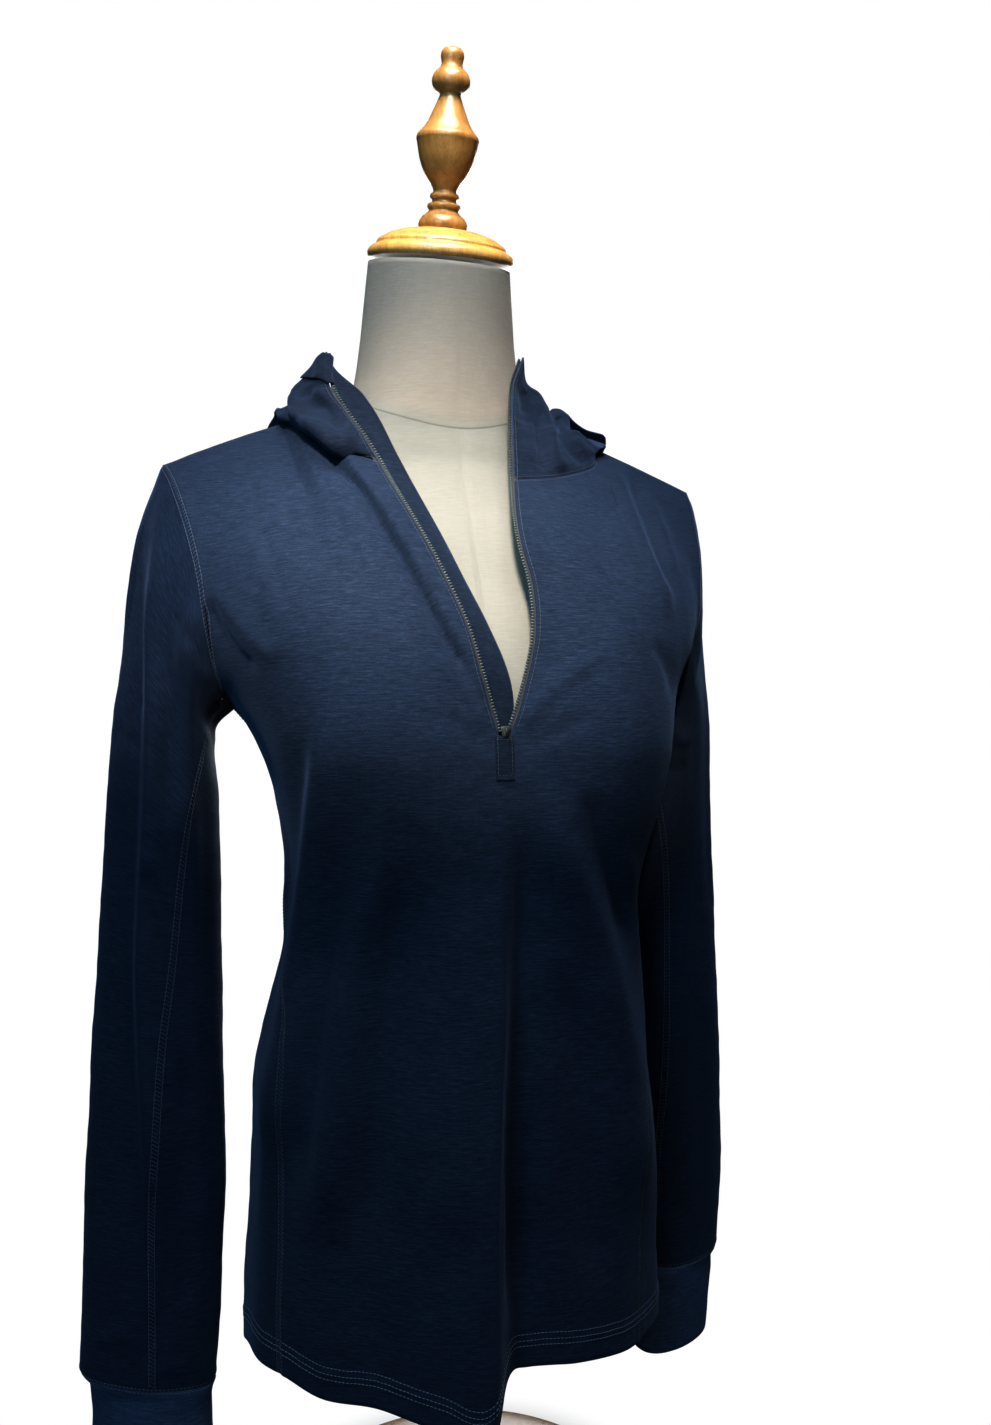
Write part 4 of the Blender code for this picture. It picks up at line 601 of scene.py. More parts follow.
SLEEVE_BACK_FOLDS = (
    (((19.6, -8.0), (19.2, -18.0), (18.8, -30.0), (18.6, -44.0)), 0.24, 0.9, 0.6),
    (((17.4, -18.0), (17.2, -30.0), (17.0, -42.0)), -0.18, 0.8, 0.8),
    (((21.4, -14.0), (20.6, -17.5), (18.6, -20.5)), 0.14, 0.6, 0.7),
    (((21.6, -17.0), (20.4, -20.6), (18.0, -23.2)), -0.12, 0.6, 0.6),
    (((16.6, -22.0), (18.0, -25.0), (20.6, -27.0)), 0.10, 0.6, 0.6),
    (((22.4, -30.0), (20.2, -33.0), (17.6, -34.6)), -0.10, 0.6, 0.7),
    (((17.2, -48.0), (19.0, -50.4), (21.4, -51.4)), 0.09, 0.6, 0.6),
)


def ripple(p, k=1.0):
    """Low, uneven waves, so that no large area of cloth is quite smooth."""
    x, y, z = p[..., 0], p[..., 1], p[..., 2]
    return k * (0.040 * np.sin(0.61 * x + 0.37 * z + 1.3) * np.sin(0.23 * z - 0.31 * y + 0.4)
                + 0.026 * np.sin(1.13 * x - 0.44 * z + 0.7) * np.sin(0.52 * z + 0.63 * y + 2.1)
                + 0.014 * np.sin(1.9 * x + 0.9 * y + 1.7 * z) * np.sin(1.3 * z - 1.1 * x + 0.5)
                + 0.006 * np.sin(3.7 * z + 1.1 * x) * np.sin(2.9 * x + 1.9 * y + 0.8 * z))


# ------------------------------------------------------------------ meshes
TRIANGLES = {}


def mesh_object(name, verts, faces, mats, smooth=True, knit=None, face_mat=None):
    """verts in cm; faces is a list of index arrays, each (n, 3) or (n, 4)."""
    verts = np.asarray(verts, float) + np.array([0.0, 0.0, SHOULDER_Z])
    me = bpy.data.meshes.new(name)
    me.vertices.add(len(verts))
    me.vertices.foreach_set("co", (verts * CM).astype(np.float32).ravel())
    faces = [np.asarray(f, int) for f in faces if len(f)]
    loops = np.concatenate([f.ravel() for f in faces])
    totals = np.concatenate([np.full(len(f), f.shape[1]) for f in faces])
    me.loops.add(len(loops))
    me.loops.foreach_set("vertex_index", loops.astype(np.int32))
    me.polygons.add(len(totals))
    me.polygons.foreach_set("loop_start", np.concatenate([[0], np.cumsum(totals)[:-1]]).astype(np.int32))
    if face_mat is not None:
        me.polygons.foreach_set("material_index", np.asarray(face_mat, np.int32))
    me.update(calc_edges=True)
    me.validate()
    for m in mats if isinstance(mats, (list, tuple)) else [mats]:
        me.materials.append(m)
    if knit is not None:
        at = me.attributes.new("knit", "FLOAT_VECTOR", "POINT")
        at.data.foreach_set("vector", (np.asarray(knit, float) * CM).astype(np.float32).ravel())
    if smooth:
        me.shade_smooth()
    TRIANGLES[name] = int((totals - 2).sum())
    o = bpy.data.objects.new(name, me)
    bpy.context.scene.collection.objects.link(o)
    return o


def grid_quads(rows, cols, closed=False, start=0, flip=False):
    i = np.arange(rows - 1)[:, None]
    j = np.arange(cols if closed else cols - 1)[None, :]
    k = (j + 1) % cols
    q = np.stack(np.broadcast_arrays(i * cols + j, i * cols + k, (i + 1) * cols + k, (i + 1) * cols + j), -1).reshape(-1, 4)
    return (q[:, ::-1] if flip else q) + start


def normals_of(verts, quads):
    p = verts[quads]
    n = np.cross(p[:, 2] - p[:, 0], p[:, 3] - p[:, 1])
    out = np.zeros_like(verts)
    for k in range(4):
        np.add.at(out, quads[:, k], n)
    return unit(out)


def borders(quads):
    """Edges used by one face only, in that face's direction."""
    e = np.concatenate([quads[:, [k, (k + 1) % 4]] for k in range(4)])
    key = e.min(1).astype(np.int64) * 10_000_000 + e.max(1)
    _, first, count = np.unique(key, return_index=True, return_counts=True)
    return e[first[count == 1]]


def edge_out(verts, normals, edge):
    """For each vertex on a border, the direction that leaves the cloth in its own plane."""
    t = unit(verts[edge[:, 1]] - verts[edge[:, 0]])
    out = np.zeros_like(verts)
    for k in (0, 1):
        np.add.at(out, edge[:, k], unit(np.cross(t, normals[edge[:, k]])))
    return unit(out)


class Panel:
    """One piece of cloth: one or two grids of points, welded where they meet."""

    def __init__(self, name, grids, flips, closed=False, weld=False, across=None):
        self.name = name
        verts, quads, knit, start = [], [], [], 0
        self.slices = []
        for n, (g, flip) in enumerate(zip(grids, flips)):
            rows, cols = g.shape[:2]
            quads.append(grid_quads(rows, cols, closed, start, flip))
            verts.append(g.reshape(-1, 3))
            step = np.linalg.norm(np.diff(g, axis=1), axis=-1)
            u = np.concatenate([np.zeros((rows, 1)), np.cumsum(step, axis=1)], axis=1)
            ref = 0 if across is None else across[n]
            u = u - u[:, [ref]]
            down = np.linalg.norm(np.diff(g, axis=0), axis=-1).mean(axis=1)
            v = np.concatenate([[0], np.cumsum(down)])[:, None] + np.zeros((1, cols))
            if n:
                u = -u
            knit.append(np.stack([u, v, np.zeros_like(u)], -1).reshape(-1, 3))
            self.slices.append((start, rows, cols))
            start += rows * cols
        self.verts, self.quads, self.knit = np.concatenate(verts), np.concatenate(quads), np.concatenate(knit)
        self.ids = np.arange(len(self.verts))
        if weld:
            key = np.round(self.verts * 2000).astype(np.int64)
            _, first, inverse = np.unique(key, axis=0, return_index=True, return_inverse=True)
            inverse = inverse.ravel()
            self.verts, self.knit = self.verts[first], self.knit[first]
            self.ids = inverse
            self.quads = inverse[self.quads]
        self.normals = normals_of(self.verts, self.quads)
        self.edge = borders(self.quads)

    def grid(self, n=0):
        start, rows, cols = self.slices[n]
        return self.ids[start:start + rows * cols].reshape(rows, cols)

    def raise_by(self, h):
        self.verts = self.verts + self.normals * np.asarray(h)[:, None]
        self.normals = normals_of(self.verts, self.quads)

    def move_by(self, step):
        self.verts = self.verts + step
        self.normals = normals_of(self.verts, self.quads)

    def facing(self):
        return np.sum(self.normals * unit(EYE - self.verts), -1)

    def wall(self, mats, thickness=CLOTH, inset=GAP, inner_mat=0):
        out = edge_out(self.verts, self.normals, self.edge)
        on = np.unique(self.edge)
        outer = self.verts.copy()
        outer[on] -= out[on] * inset
        inner = outer - self.normals * thickness
        mid = (outer[on] + inner[on]) / 2 + out[on] * thickness * 0.32
        n = len(outer)
        place = np.full(n, -1)
        place[on] = 2 * n + np.arange(len(on))
        a, b = self.edge[:, 0], self.edge[:, 1]
        rim = np.concatenate([np.stack([b, a, place[a], place[b]], -1), np.stack([place[b], place[a], a + n, b + n], -1)])
        faces = np.concatenate([self.quads, self.quads[:, ::-1] + n, rim])
        which = np.concatenate([np.zeros(len(self.quads)), np.full(len(self.quads), inner_mat), np.full(len(rim), inner_mat)])
        knit = np.concatenate([self.knit, self.knit, self.knit[on]])
        self.area = float(np.linalg.norm(np.cross(outer[self.quads[:, 2]] - outer[self.quads[:, 0]],
                                                  outer[self.quads[:, 3]] - outer[self.quads[:, 1]]), axis=1).sum() / 2) / 1e4
        return mesh_object(self.name, np.concatenate([outer, inner, mid]), [faces], mats, knit=knit, face_mat=which)


def run_length(p):
    return np.concatenate([[0], np.cumsum(np.linalg.norm(np.diff(p, axis=0), axis=1))])


def resample(line, normals, step):
    run = run_length(line)
    n = max(2, int(round(run[-1] / step)) + 1)
    at = np.linspace(0, run[-1], n)
    return (np.stack([np.interp(at, run, line[:, k]) for k in range(3)], -1),
            unit(np.stack([np.interp(at, run, normals[:, k]) for k in range(3)], -1)))


def parallel(panel, ids, edge_first, dist):
    """The line at a distance from a grid's edge: ids is (lines, places from the edge inward)."""
    p, nrm = panel.verts[ids], panel.normals[ids]
    if not edge_first:
        p, nrm = p[:, ::-1], nrm[:, ::-1]
    line, normal = [], []
    for a, b in zip(p, nrm):
        run = run_length(a)
        line.append([np.interp(dist, run, a[:, k]) for k in range(3)])
        normal.append([np.interp(dist, run, b[:, k]) for k in range(3)])
    return np.array(line), unit(np.array(normal))


def edge_distance(panel, n, side):
    """Distance from one edge of grid n, for each of its vertices, along its rows or columns."""
    ids = panel.grid(n)
    p = panel.verts[ids]
    axis = 1 if side in ("left", "right") else 0
    step = np.linalg.norm(np.diff(p, axis=axis), axis=-1)
    run = np.concatenate([np.zeros_like(step[:, :1]) if axis else np.zeros_like(step[:1]), np.cumsum(step, axis=axis)], axis=axis)
    if side in ("right", "top"):
        run = (run[:, -1:] - run) if axis else (run[-1:] - run)
    out = np.full(len(panel.verts), 99.0)
    out[ids.ravel()] = run.ravel()
    return out


def seam_profile(d):
    """A flatlocked edge: it dips at the join, and stands up a little under each row of stitches."""
    return 0.030 * np.exp(-((d - 0.20) / 0.13) ** 2) - 0.050 * np.exp(-(d / 0.07) ** 2)


# stitches ----------------------------------------------------------
def threads(a, b, n, radius, hump=1.0, sides=4):
    """Short raised threads from a to b; n is the cloth's normal."""
    t = unit(b - a)
    s = unit(np.cross(n, t))
    n = unit(np.cross(t, s))
    verts, faces = [], []
    stations = ((0.0, 0.55, -0.35), (0.22, 1.0, 0.55 * hump), (0.78, 1.0, 0.55 * hump), (1.0, 0.55, -0.35))
    ang = np.arange(sides) * 2 * np.pi / sides + math.pi / 4
    count = len(a)
    for f, r, h in stations:
        c = a + (b - a) * f + n * radius * h
        for w in ang:
            verts.append(c + radius * r * (math.cos(w) * s + math.sin(w) * n))
    verts = np.stack(verts, 1)
    k = len(stations) * sides
    base = np.arange(count)[:, None] * k
    for i in range(len(stations) - 1):
        for j in range(sides):
            q = (j + 1) % sides
            faces.append(base + np.array([i * sides + j, i * sides + q, (i + 1) * sides + q, (i + 1) * sides + j]))
    faces.append(base + np.arange(sides)[::-1])
    faces.append(base + (len(stations) - 1) * sides + np.arange(sides))
    return verts.reshape(-1, 3), [np.concatenate(faces[:-2]), np.concatenate(faces[-2:])]


class Stitches:
    def __init__(self):
        self.verts, self.quads, self.count = [], [], 0

    def add(self, a, b, n, radius=0.020, hump=1.0, sides=4):
        if not len(a):
            return
        v, f = threads(a, b, n, radius, hump, sides)
        self.verts.append(v)
        self.quads += [q + self.count for q in f]
        self.count += len(v)

    def row(self, line, normals, pitch=0.27, length=0.21, radius=0.020, lift=0.004):
        p, n = resample(line, normals, pitch)
        p = p + n * lift
        a, b = p[:-1], p[1:]
        self.add(a, a + (b - a) * (length / pitch), n[:-1], radius)

    def zigzag(self, one, two, normals, pitch=0.27, radius=0.013):
        """Cover threads that cross from one row to the other."""
        a, n = resample(one, normals, pitch)
        run = np.linspace(0, 1, len(a))
        two_run = run_length(two) / run_length(two)[-1]
        b = np.stack([np.interp(run, two_run, two[:, k]) for k in range(3)], -1)
        self.add(a[:-1], b[1:], n[:-1], radius, 0.8)

    def object(self, name, mat):
        return mesh_object(name, np.concatenate(self.verts), self.quads, mat)


# ------------------------------------------------------------------ materials
def node_tree(name):
    m = bpy.data.materials.new(name)
    m.use_nodes = True
    return m, m.node_tree.nodes, m.node_tree.links, m.node_tree.nodes["Principled BSDF"]


def make(nodes, kind, **values):
    n = nodes.new(kind)
    for key, value in values.items():
        if hasattr(n, key):
            setattr(n, key, value)
        else:
            n.inputs[key].default_value = value
    return n


def math_node(nodes, links, op, a, b=None, c=None):
    n = nodes.new("ShaderNodeMath")
    n.operation = op
    for k, v in enumerate((a, b, c)):
        if v is None:
            continue
        if isinstance(v, (int, float)):
            n.inputs[k].default_value = v
        else:
            links.new(v, n.inputs[k])
    return n.outputs[0]


def scaled(nodes, links, vector, scale):
    n = nodes.new("ShaderNodeVectorMath")
    n.operation = "MULTIPLY"
    links.new(vector, n.inputs[0])
    n.inputs[1].default_value = scale
    return n.outputs[0]


def noise(nodes, links, vector, scale, detail=2.0, rough=0.5):
    n = nodes.new("ShaderNodeTexNoise")
    links.new(vector, n.inputs["Vector"])
    n.inputs["Scale"].default_value = scale
    n.inputs["Detail"].default_value = detail
    n.inputs["Roughness"].default_value = rough
    return n.outputs["Fac"]


def ramp(nodes, links, fac, stops):
    n = nodes.new("ShaderNodeValToRGB")
    links.new(fac, n.inputs[0])
    while len(n.color_ramp.elements) < len(stops):
        n.color_ramp.elements.new(0.5)
    for e, (at, colour) in zip(n.color_ramp.elements, stops):
        e.position = at
        e.color = (*colour, 1.0)
    return n.outputs[0]


def mix(nodes, links, fac, a, b, kind="MIX"):
    n = nodes.new("ShaderNodeMix")
    n.data_type = "RGBA"
    n.blend_type = kind
    if isinstance(fac, (int, float)):
        n.inputs[0].default_value = fac
    else:
        links.new(fac, n.inputs[0])
    for k, v in ((6, a), (7, b)):
        if isinstance(v, tuple):
            n.inputs[k].default_value = (*v, 1.0)
        else:
            links.new(v, n.inputs[k])
    return n.outputs[2]


def grey(v):
    return (v, v, v)


def knit_material(name, colour, light=1.0, sheen=0.10, rib=0.0, bump=0.35):
    """Fine jersey: wales and courses, uneven yarn that shows as short level streaks, and a soft bloom."""
    m, nodes, links, b = node_tree(name)
    at = make(nodes, "ShaderNodeAttribute", attribute_name="knit").outputs["Vector"]
    xyz = nodes.new("ShaderNodeSeparateXYZ")
    links.new(at, xyz.inputs[0])
    u, v = xyz.outputs[0], xyz.outputs[1]
    # loops: 0.85 mm wales, 0.65 mm courses; each wale is a row of leaning halves
    wale = math_node(nodes, links, "ABSOLUTE", math_node(nodes, links, "SINE", math_node(nodes, links, "MULTIPLY", u, math.pi / 0.00085)))
    lean = math_node(nodes, links, "MULTIPLY", wale, 0.9)
    course = math_node(nodes, links, "SINE", math_node(nodes, links, "ADD", math_node(nodes, links, "MULTIPLY", v, 2 * math.pi / 0.00065), lean))
    loops = math_node(nodes, links, "ADD", math_node(nodes, links, "MULTIPLY", wale, 0.6), math_node(nodes, links, "MULTIPLY", course, 0.25))
    streak = noise(nodes, links, scaled(nodes, links, at, (150.0, 1250.0, 1.0)), 1.0, 3.0, 0.65)
    long_ = noise(nodes, links, scaled(nodes, links, at, (55.0, 900.0, 1.0)), 1.0, 2.0, 0.6)
    streak = math_node(nodes, links, "ADD", math_node(nodes, links, "MULTIPLY", streak, 0.62), math_node(nodes, links, "MULTIPLY", long_, 0.38))
    yarn = noise(nodes, links, scaled(nodes, links, at, (260.0, 900.0, 1.0)), 1.0, 2.0, 0.6)
    where = nodes.new("ShaderNodeTexCoord").outputs["Object"]
    cloud = noise(nodes, links, where, 16.0, 3.0, 0.55)
    fuzz = noise(nodes, links, where, 1500.0, 2.0, 0.6)
    dark = tuple(c * 0.55 for c in colour)
    pale = tuple(min(1.0, c * 1.75 + 0.003) for c in colour)
    fleck = noise(nodes, links, scaled(nodes, links, at, (900.0, 2600.0, 1.0)), 1.0, 1.0, 0.5)
    c1 = ramp(nodes, links, streak, ((0.36, dark), (0.50, colour), (0.66, pale)))
    c2 = mix(nodes, links, math_node(nodes, links, "MULTIPLY", yarn, 0.45), c1, colour)
    c3 = mix(nodes, links, 1.0, c2, ramp(nodes, links, cloud, ((0.25, grey(0.86)), (0.75, grey(1.0)))), "MULTIPLY")
    c4 = mix(nodes, links, 1.0, c3, ramp(nodes, links, fuzz, ((0.35, grey(0.88)), (0.8, grey(1.0)))), "MULTIPLY")
    c4 = mix(nodes, links, ramp(nodes, links, fleck, ((0.66, grey(0.0)), (0.74, grey(0.55)))), c4, tuple(c * 3.2 for c in colour))
    links.new(c4, b.inputs["Base Color"])
    rough = ramp(nodes, links, streak, ((0.3, grey(0.92)), (0.7, grey(0.80))))
    links.new(rough, b.inputs["Roughness"])
    b.inputs["Specular IOR Level"].default_value = 0.07
    b.inputs["Sheen Weight"].default_value = sheen
    b.inputs["Sheen Roughness"].default_value = 0.45
    b.inputs["Sheen Tint"].default_value = (0.30, 0.52, 1.0, 1.0)
    h = math_node(nodes, links, "ADD", math_node(nodes, links, "MULTIPLY", loops, 0.5), math_node(nodes, links, "MULTIPLY", streak, 0.9))
    h = math_node(nodes, links, "ADD", h, math_node(nodes, links, "MULTIPLY", fuzz, 0.35))
    if rib:
        groove = math_node(nodes, links, "ABSOLUTE", math_node(nodes, links, "SINE", math_node(nodes, links, "MULTIPLY", u, math.pi / rib)))
        h = math_node(nodes, links, "ADD", h, math_node(nodes, links, "MULTIPLY", groove, 1.1))
    bump_node = make(nodes, "ShaderNodeBump", Strength=bump, Distance=0.0003)
    links.new(h, bump_node.inputs["Height"])
    links.new(bump_node.outputs[0], b.inputs["Normal"])
    return m


def thread_material(name, colour):
    m, nodes, links, b = node_tree(name)
    where = nodes.new("ShaderNodeTexCoord").outputs["Object"]
    twist = noise(nodes, links, where, 2600.0, 2.0)
    links.new(ramp(nodes, links, twist, ((0.3, tuple(c * 0.7 for c in colour)), (0.7, colour))), b.inputs["Base Color"])
    b.inputs["Roughness"].default_value = 0.55
    b.inputs["Sheen Weight"].default_value = 0.05
    bump_node = make(nodes, "ShaderNodeBump", Strength=0.3, Distance=0.0001)
    links.new(twist, bump_node.inputs["Height"])
    links.new(bump_node.outputs[0], b.inputs["Normal"])
    return m


def linen_material(name):
    """Plain linen with slubs; the neck's cover is lighter than the body's, as painted light on the neck, which the
    lamps light less.
    """
    m, nodes, links, b = node_tree(name)
    at = make(nodes, "ShaderNodeAttribute", attribute_name="knit").outputs["Vector"]
    xyz = nodes.new("ShaderNodeSeparateXYZ")
    links.new(at, xyz.inputs[0])
    u, v, part = xyz.outputs[0], xyz.outputs[1], xyz.outputs[2]
    warp = math_node(nodes, links, "SINE", math_node(nodes, links, "MULTIPLY", u, 2 * math.pi / 0.00075))
    weft = math_node(nodes, links, "SINE", math_node(nodes, links, "MULTIPLY", v, 2 * math.pi / 0.00080))
    weave = math_node(nodes, links, "MULTIPLY", warp, weft)
    slub_h = noise(nodes, links, scaled(nodes, links, at, (90.0, 1000.0, 1.0)), 1.0, 3.0, 0.65)
    slub_v = noise(nodes, links, scaled(nodes, links, at, (1000.0, 90.0, 1.0)), 1.0, 3.0, 0.65)
    cloud = noise(nodes, links, nodes.new("ShaderNodeTexCoord").outputs["Object"], 22.0, 3.0)
    # the neck's linen is lighter than the body's: painted light
    neck = mix(nodes, links, slub_h, (0.153, 0.146, 0.136), (0.262, 0.253, 0.240))
    neck = mix(nodes, links, math_node(nodes, links, "MULTIPLY", slub_v, 0.6), neck, (0.147, 0.140, 0.129))
    body = mix(nodes, links, slub_h, (0.122, 0.132, 0.127), (0.179, 0.192, 0.192))
    body = mix(nodes, links, math_node(nodes, links, "MULTIPLY", slub_v, 0.45), body, (0.122, 0.127, 0.121))
    c = mix(nodes, links, math_node(nodes, links, "MULTIPLY", part, 100.0), body, neck)
    c = mix(nodes, links, 1.0, c, ramp(nodes, links, cloud, ((0.3, grey(0.93)), (0.7, grey(1.0)))), "MULTIPLY")
    join = math_node(nodes, links, "MULTIPLY", math_node(nodes, links, "ABSOLUTE", part), 1000.0)
    c = mix(nodes, links, 1.0, c, ramp(nodes, links, join, ((0.35, grey(0.66)), (0.75, grey(1.0)))), "MULTIPLY")
    links.new(c, b.inputs["Base Color"])
    b.inputs["Roughness"].default_value = 0.88
    b.inputs["Specular IOR Level"].default_value = 0.25
    b.inputs["Sheen Weight"].default_value = 0.10
    h = math_node(nodes, links, "ADD", math_node(nodes, links, "MULTIPLY", weave, 0.35),
                  math_node(nodes, links, "ADD", slub_h, slub_v))
    bump_node = make(nodes, "ShaderNodeBump", Strength=0.45, Distance=0.0004)
    links.new(h, bump_node.inputs["Height"])
    links.new(bump_node.outputs[0], b.inputs["Normal"])
    return m


def wood_material(name, tone=1.0):
    """Pale hardwood, turned and lacquered."""
    m, nodes, links, b = node_tree(name)
    where = nodes.new("ShaderNodeTexCoord").outputs["Object"]
    grain = noise(nodes, links, scaled(nodes, links, where, (130.0, 130.0, 9.0)), 1.0, 4.0, 0.6)
    pore = noise(nodes, links, scaled(nodes, links, where, (900.0, 900.0, 60.0)), 1.0, 2.0, 0.5)
    cloud = noise(nodes, links, where, 30.0, 2.0)
    c = ramp(nodes, links, grain, [(at_, tuple(x * tone for x in rgb)) for at_, rgb in ((0.30, (0.43, 0.196, 0.055)), (0.48, (0.59, 0.305, 0.092)), (0.70, (0.69, 0.388, 0.137)))])
    c = mix(nodes, links, 1.0, c, ramp(nodes, links, pore, ((0.30, grey(0.78)), (0.55, grey(1.0)))), "MULTIPLY")
    c = mix(nodes, links, 1.0, c, ramp(nodes, links, cloud, ((0.3, grey(0.92)), (0.7, grey(1.0)))), "MULTIPLY")
    links.new(c, b.inputs["Base Color"])
    links.new(ramp(nodes, links, pore, ((0.3, grey(0.42)), (0.6, grey(0.32)))), b.inputs["Roughness"])
    b.inputs["Coat Weight"].default_value = 0.22
    b.inputs["Coat Roughness"].default_value = 0.22
    bump_node = make(nodes, "ShaderNodeBump", Strength=0.12, Distance=0.0002)
    links.new(pore, bump_node.inputs["Height"])
    links.new(bump_node.outputs[0], b.inputs["Normal"])
    return m


def metal_material(name, colour, rough, brushed=False):
    m, nodes, links, b = node_tree(name)
    where = nodes.new("ShaderNodeTexCoord").outputs["Object"]
    scale = (40.0, 40.0, 2500.0) if brushed else (500.0, 500.0, 500.0)
    marks = noise(nodes, links, scaled(nodes, links, where, scale), 1.0, 3.0)
    links.new(ramp(nodes, links, marks, ((0.3, tuple(c * 0.85 for c in colour)), (0.7, colour))), b.inputs["Base Color"])
    links.new(ramp(nodes, links, marks, ((0.3, grey(rough * 0.8)), (0.7, grey(rough * 1.2)))), b.inputs["Roughness"])
    b.inputs["Metallic"].default_value = 1.0
    bump_node = make(nodes, "ShaderNodeBump", Strength=0.1, Distance=0.0001)
    links.new(marks, bump_node.inputs["Height"])
    links.new(bump_node.outputs[0], b.inputs["Normal"])
    return m


def tape_material(name, colour):
    """Woven zip tape, herringbone."""
    m, nodes, links, b = node_tree(name)
    at = make(nodes, "ShaderNodeAttribute", attribute_name="knit").outputs["Vector"]
    xyz = nodes.new("ShaderNodeSeparateXYZ")
    links.new(at, xyz.inputs[0])
    tooth = math_node(nodes, links, "PINGPONG", xyz.outputs[0], 0.0008)
    rows = math_node(nodes, links, "SINE", math_node(nodes, links, "MULTIPLY", math_node(nodes, links, "ADD", tooth, xyz.outputs[1]), 2 * math.pi / 0.0006))
    links.new(ramp(nodes, links, math_node(nodes, links, "MULTIPLY_ADD", rows, 0.5, 0.5),
                   ((0.2, tuple(c * 0.65 for c in colour)), (0.8, colour))), b.inputs["Base Color"])
    b.inputs["Roughness"].default_value = 0.7
    b.inputs["Sheen Weight"].default_value = 0.1
    bump_node = make(nodes, "ShaderNodeBump", Strength=0.4, Distance=0.0002)
    links.new(rows, bump_node.inputs["Height"])
    links.new(bump_node.outputs[0], b.inputs["Normal"])
    return m


def nylon_material(name, colour):
    m, nodes, links, b = node_tree(name)
    where = nodes.new("ShaderNodeTexCoord").outputs["Object"]
    marks = noise(nodes, links, where, 900.0, 2.0)
    links.new(ramp(nodes, links, marks, ((0.3, tuple(c * 0.75 for c in colour)), (0.7, colour))), b.inputs["Base Color"])
    b.inputs["Roughness"].default_value = 0.32
    return m


NAVY = (0.0106, 0.0196, 0.0415)
knit = knit_material("jersey", NAVY)
# the side panels: the same navy made a little darker, as painted shade on the sides
knit_side_painted_shade = knit_material("jersey_side_painted_shade", tuple(c * 0.93 for c in NAVY))
# the sleeves: the same navy made darker, as painted shade on their upright sides
knit_sleeve_painted_shade = knit_material("jersey_sleeve_painted_shade", (NAVY[0] * 0.72, NAVY[1] * 0.80, NAVY[2] * 0.88))
# the cuffs: the same navy made lighter, as painted light at the foot of the sleeves
knit_cuff_painted_light = knit_material("jersey_cuff_painted_light", tuple(c * 2.3 for c in NAVY))
# the hood: the same navy made darker, as painted shade on its upright folds
knit_hood_painted_shade = knit_material("jersey_hood_painted_shade", tuple(c * 0.76 for c in NAVY))
# inside the hood: the wrong side made lighter, as painted light in the hollow that stays in shade
knit_hood_inner_painted_light = knit_material("jersey_hood_wrong_side_painted_light", tuple(c * 1.7 for c in NAVY), bump=0.5)
knit_inner = knit_material("jersey_wrong_side", tuple(c * 0.95 for c in NAVY), bump=0.5)
facing_knit = knit_material("jersey_facing", tuple(c * 0.66 for c in NAVY))
seam_thread = thread_material("seam_thread", (0.040, 0.068, 0.114))
body_seam_thread = thread_material("body_seam_thread", (0.024, 0.042, 0.072))
# a darker thread for the neck seam and all the hood's stitches: painted shade, as under the collar's roll
neck_thread_painted_shade = thread_material("neck_thread_painted_shade", (0.018, 0.032, 0.056))
hem_thread = thread_material("hem_thread", (0.080, 0.122, 0.190))
zip_thread = thread_material("zip_thread", (0.020, 0.034, 0.052))
tape = tape_material("zip_tape", (0.006, 0.010, 0.018))
coil = nylon_material("zip_coil", (0.056, 0.088, 0.104))
slider_metal = metal_material("slider_metal", (0.055, 0.072, 0.068), 0.55)
linen = linen_material("linen")
wood = wood_material("turned_wood", 1.12)
wood_dark = wood_material("turned_wood_dark", 0.66)
base_wood = wood_material("base_wood", 0.42)
pole_metal = metal_material("pole_metal", (0.62, 0.62, 0.63), 0.28, True)

# ------------------------------------------------------------------ the body's panels
LOW, HIGH = 150, 66
HALF_COLS, SIDE_COLS, BACK_COLS = 72, 34, 120


def soft_join(grid, left, right, wide=16, times=60):
    """Even out the rows where the lower and the upper part of a panel meet, away from its side edges."""
    grid = grid.copy()
    rows = np.arange(LOW - wide, LOW + wide + 1)
    k = ease((wide - np.abs(rows - LOW)) / wide)[:, None, None]
    cols = np.arange(grid.shape[1])
    w = ease(cols / left) if left else np.ones(len(cols))
    if right:
        w = w * ease((cols[-1] - cols) / right)
    for _ in range(times):
        mid = (grid[rows - 1] + grid[rows + 1]) / 2
        grid[rows] += (mid - grid[rows]) * k * w[None, :, None]
    return grid


v = np.linspace(0, 1, LOW + 1)
vz = (ZIP_BASE + 57.7) / (UNDERARM + 57.7)
zip_row = int(round(vz * LOW))
v[:zip_row + 1] = np.linspace(0, vz, zip_row + 1)
v[zip_row:] = np.linspace(vz, 1, LOW + 1 - zip_row)
t = np.linspace(0, 1, HIGH + 1)
angles = seam_angles(v)
u = np.linspace(0, 1, HALF_COLS + 1)
meet = ease((v - vz) / (1 - vz))[:, None, None]
halves = []
for side in (-1, 1):
    z0 = spline(ZIP_RIGHT if side < 0 else ZIP_LEFT, 0.0)[0]
    fa, ba = angles[side]
    end = CENTRE_HEM * np.clip(1 - v / vz, 0, 1)
    end = np.where(v > vz, (v - vz) / (1 - vz) * math.atan2(z0[0], -z0[1]) / DEG, end)
    th = side * fa[:, None] * (1 - u[None]) + end[:, None] * u[None]
    low = low_body(th, np.repeat(v[:, None], HALF_COLS + 1, 1))
    high = high_front(side, u, t)
    low = low + meet * (high[0] - low[-1])[None]
    # the slit is already open at its foot, by the width of the slider
    gap = np.clip(1 - (low[zip_row + 1:, -1, 2] - ZIP_BASE) / 2.5, 0, 1)[:, None]
    reach = np.linalg.norm(low[zip_row + 1:] - low[zip_row + 1:, -1:], axis=-1)
    low[zip_row + 1:, :, 0] += side * 0.78 * gap * ease(1 - reach / 2.6)
    halves.append(soft_join(np.concatenate([low[:-1], high]), 12, 0))
front = Panel("front_panel", halves, (False, True), weld=True, across=(HALF_COLS, HALF_COLS))

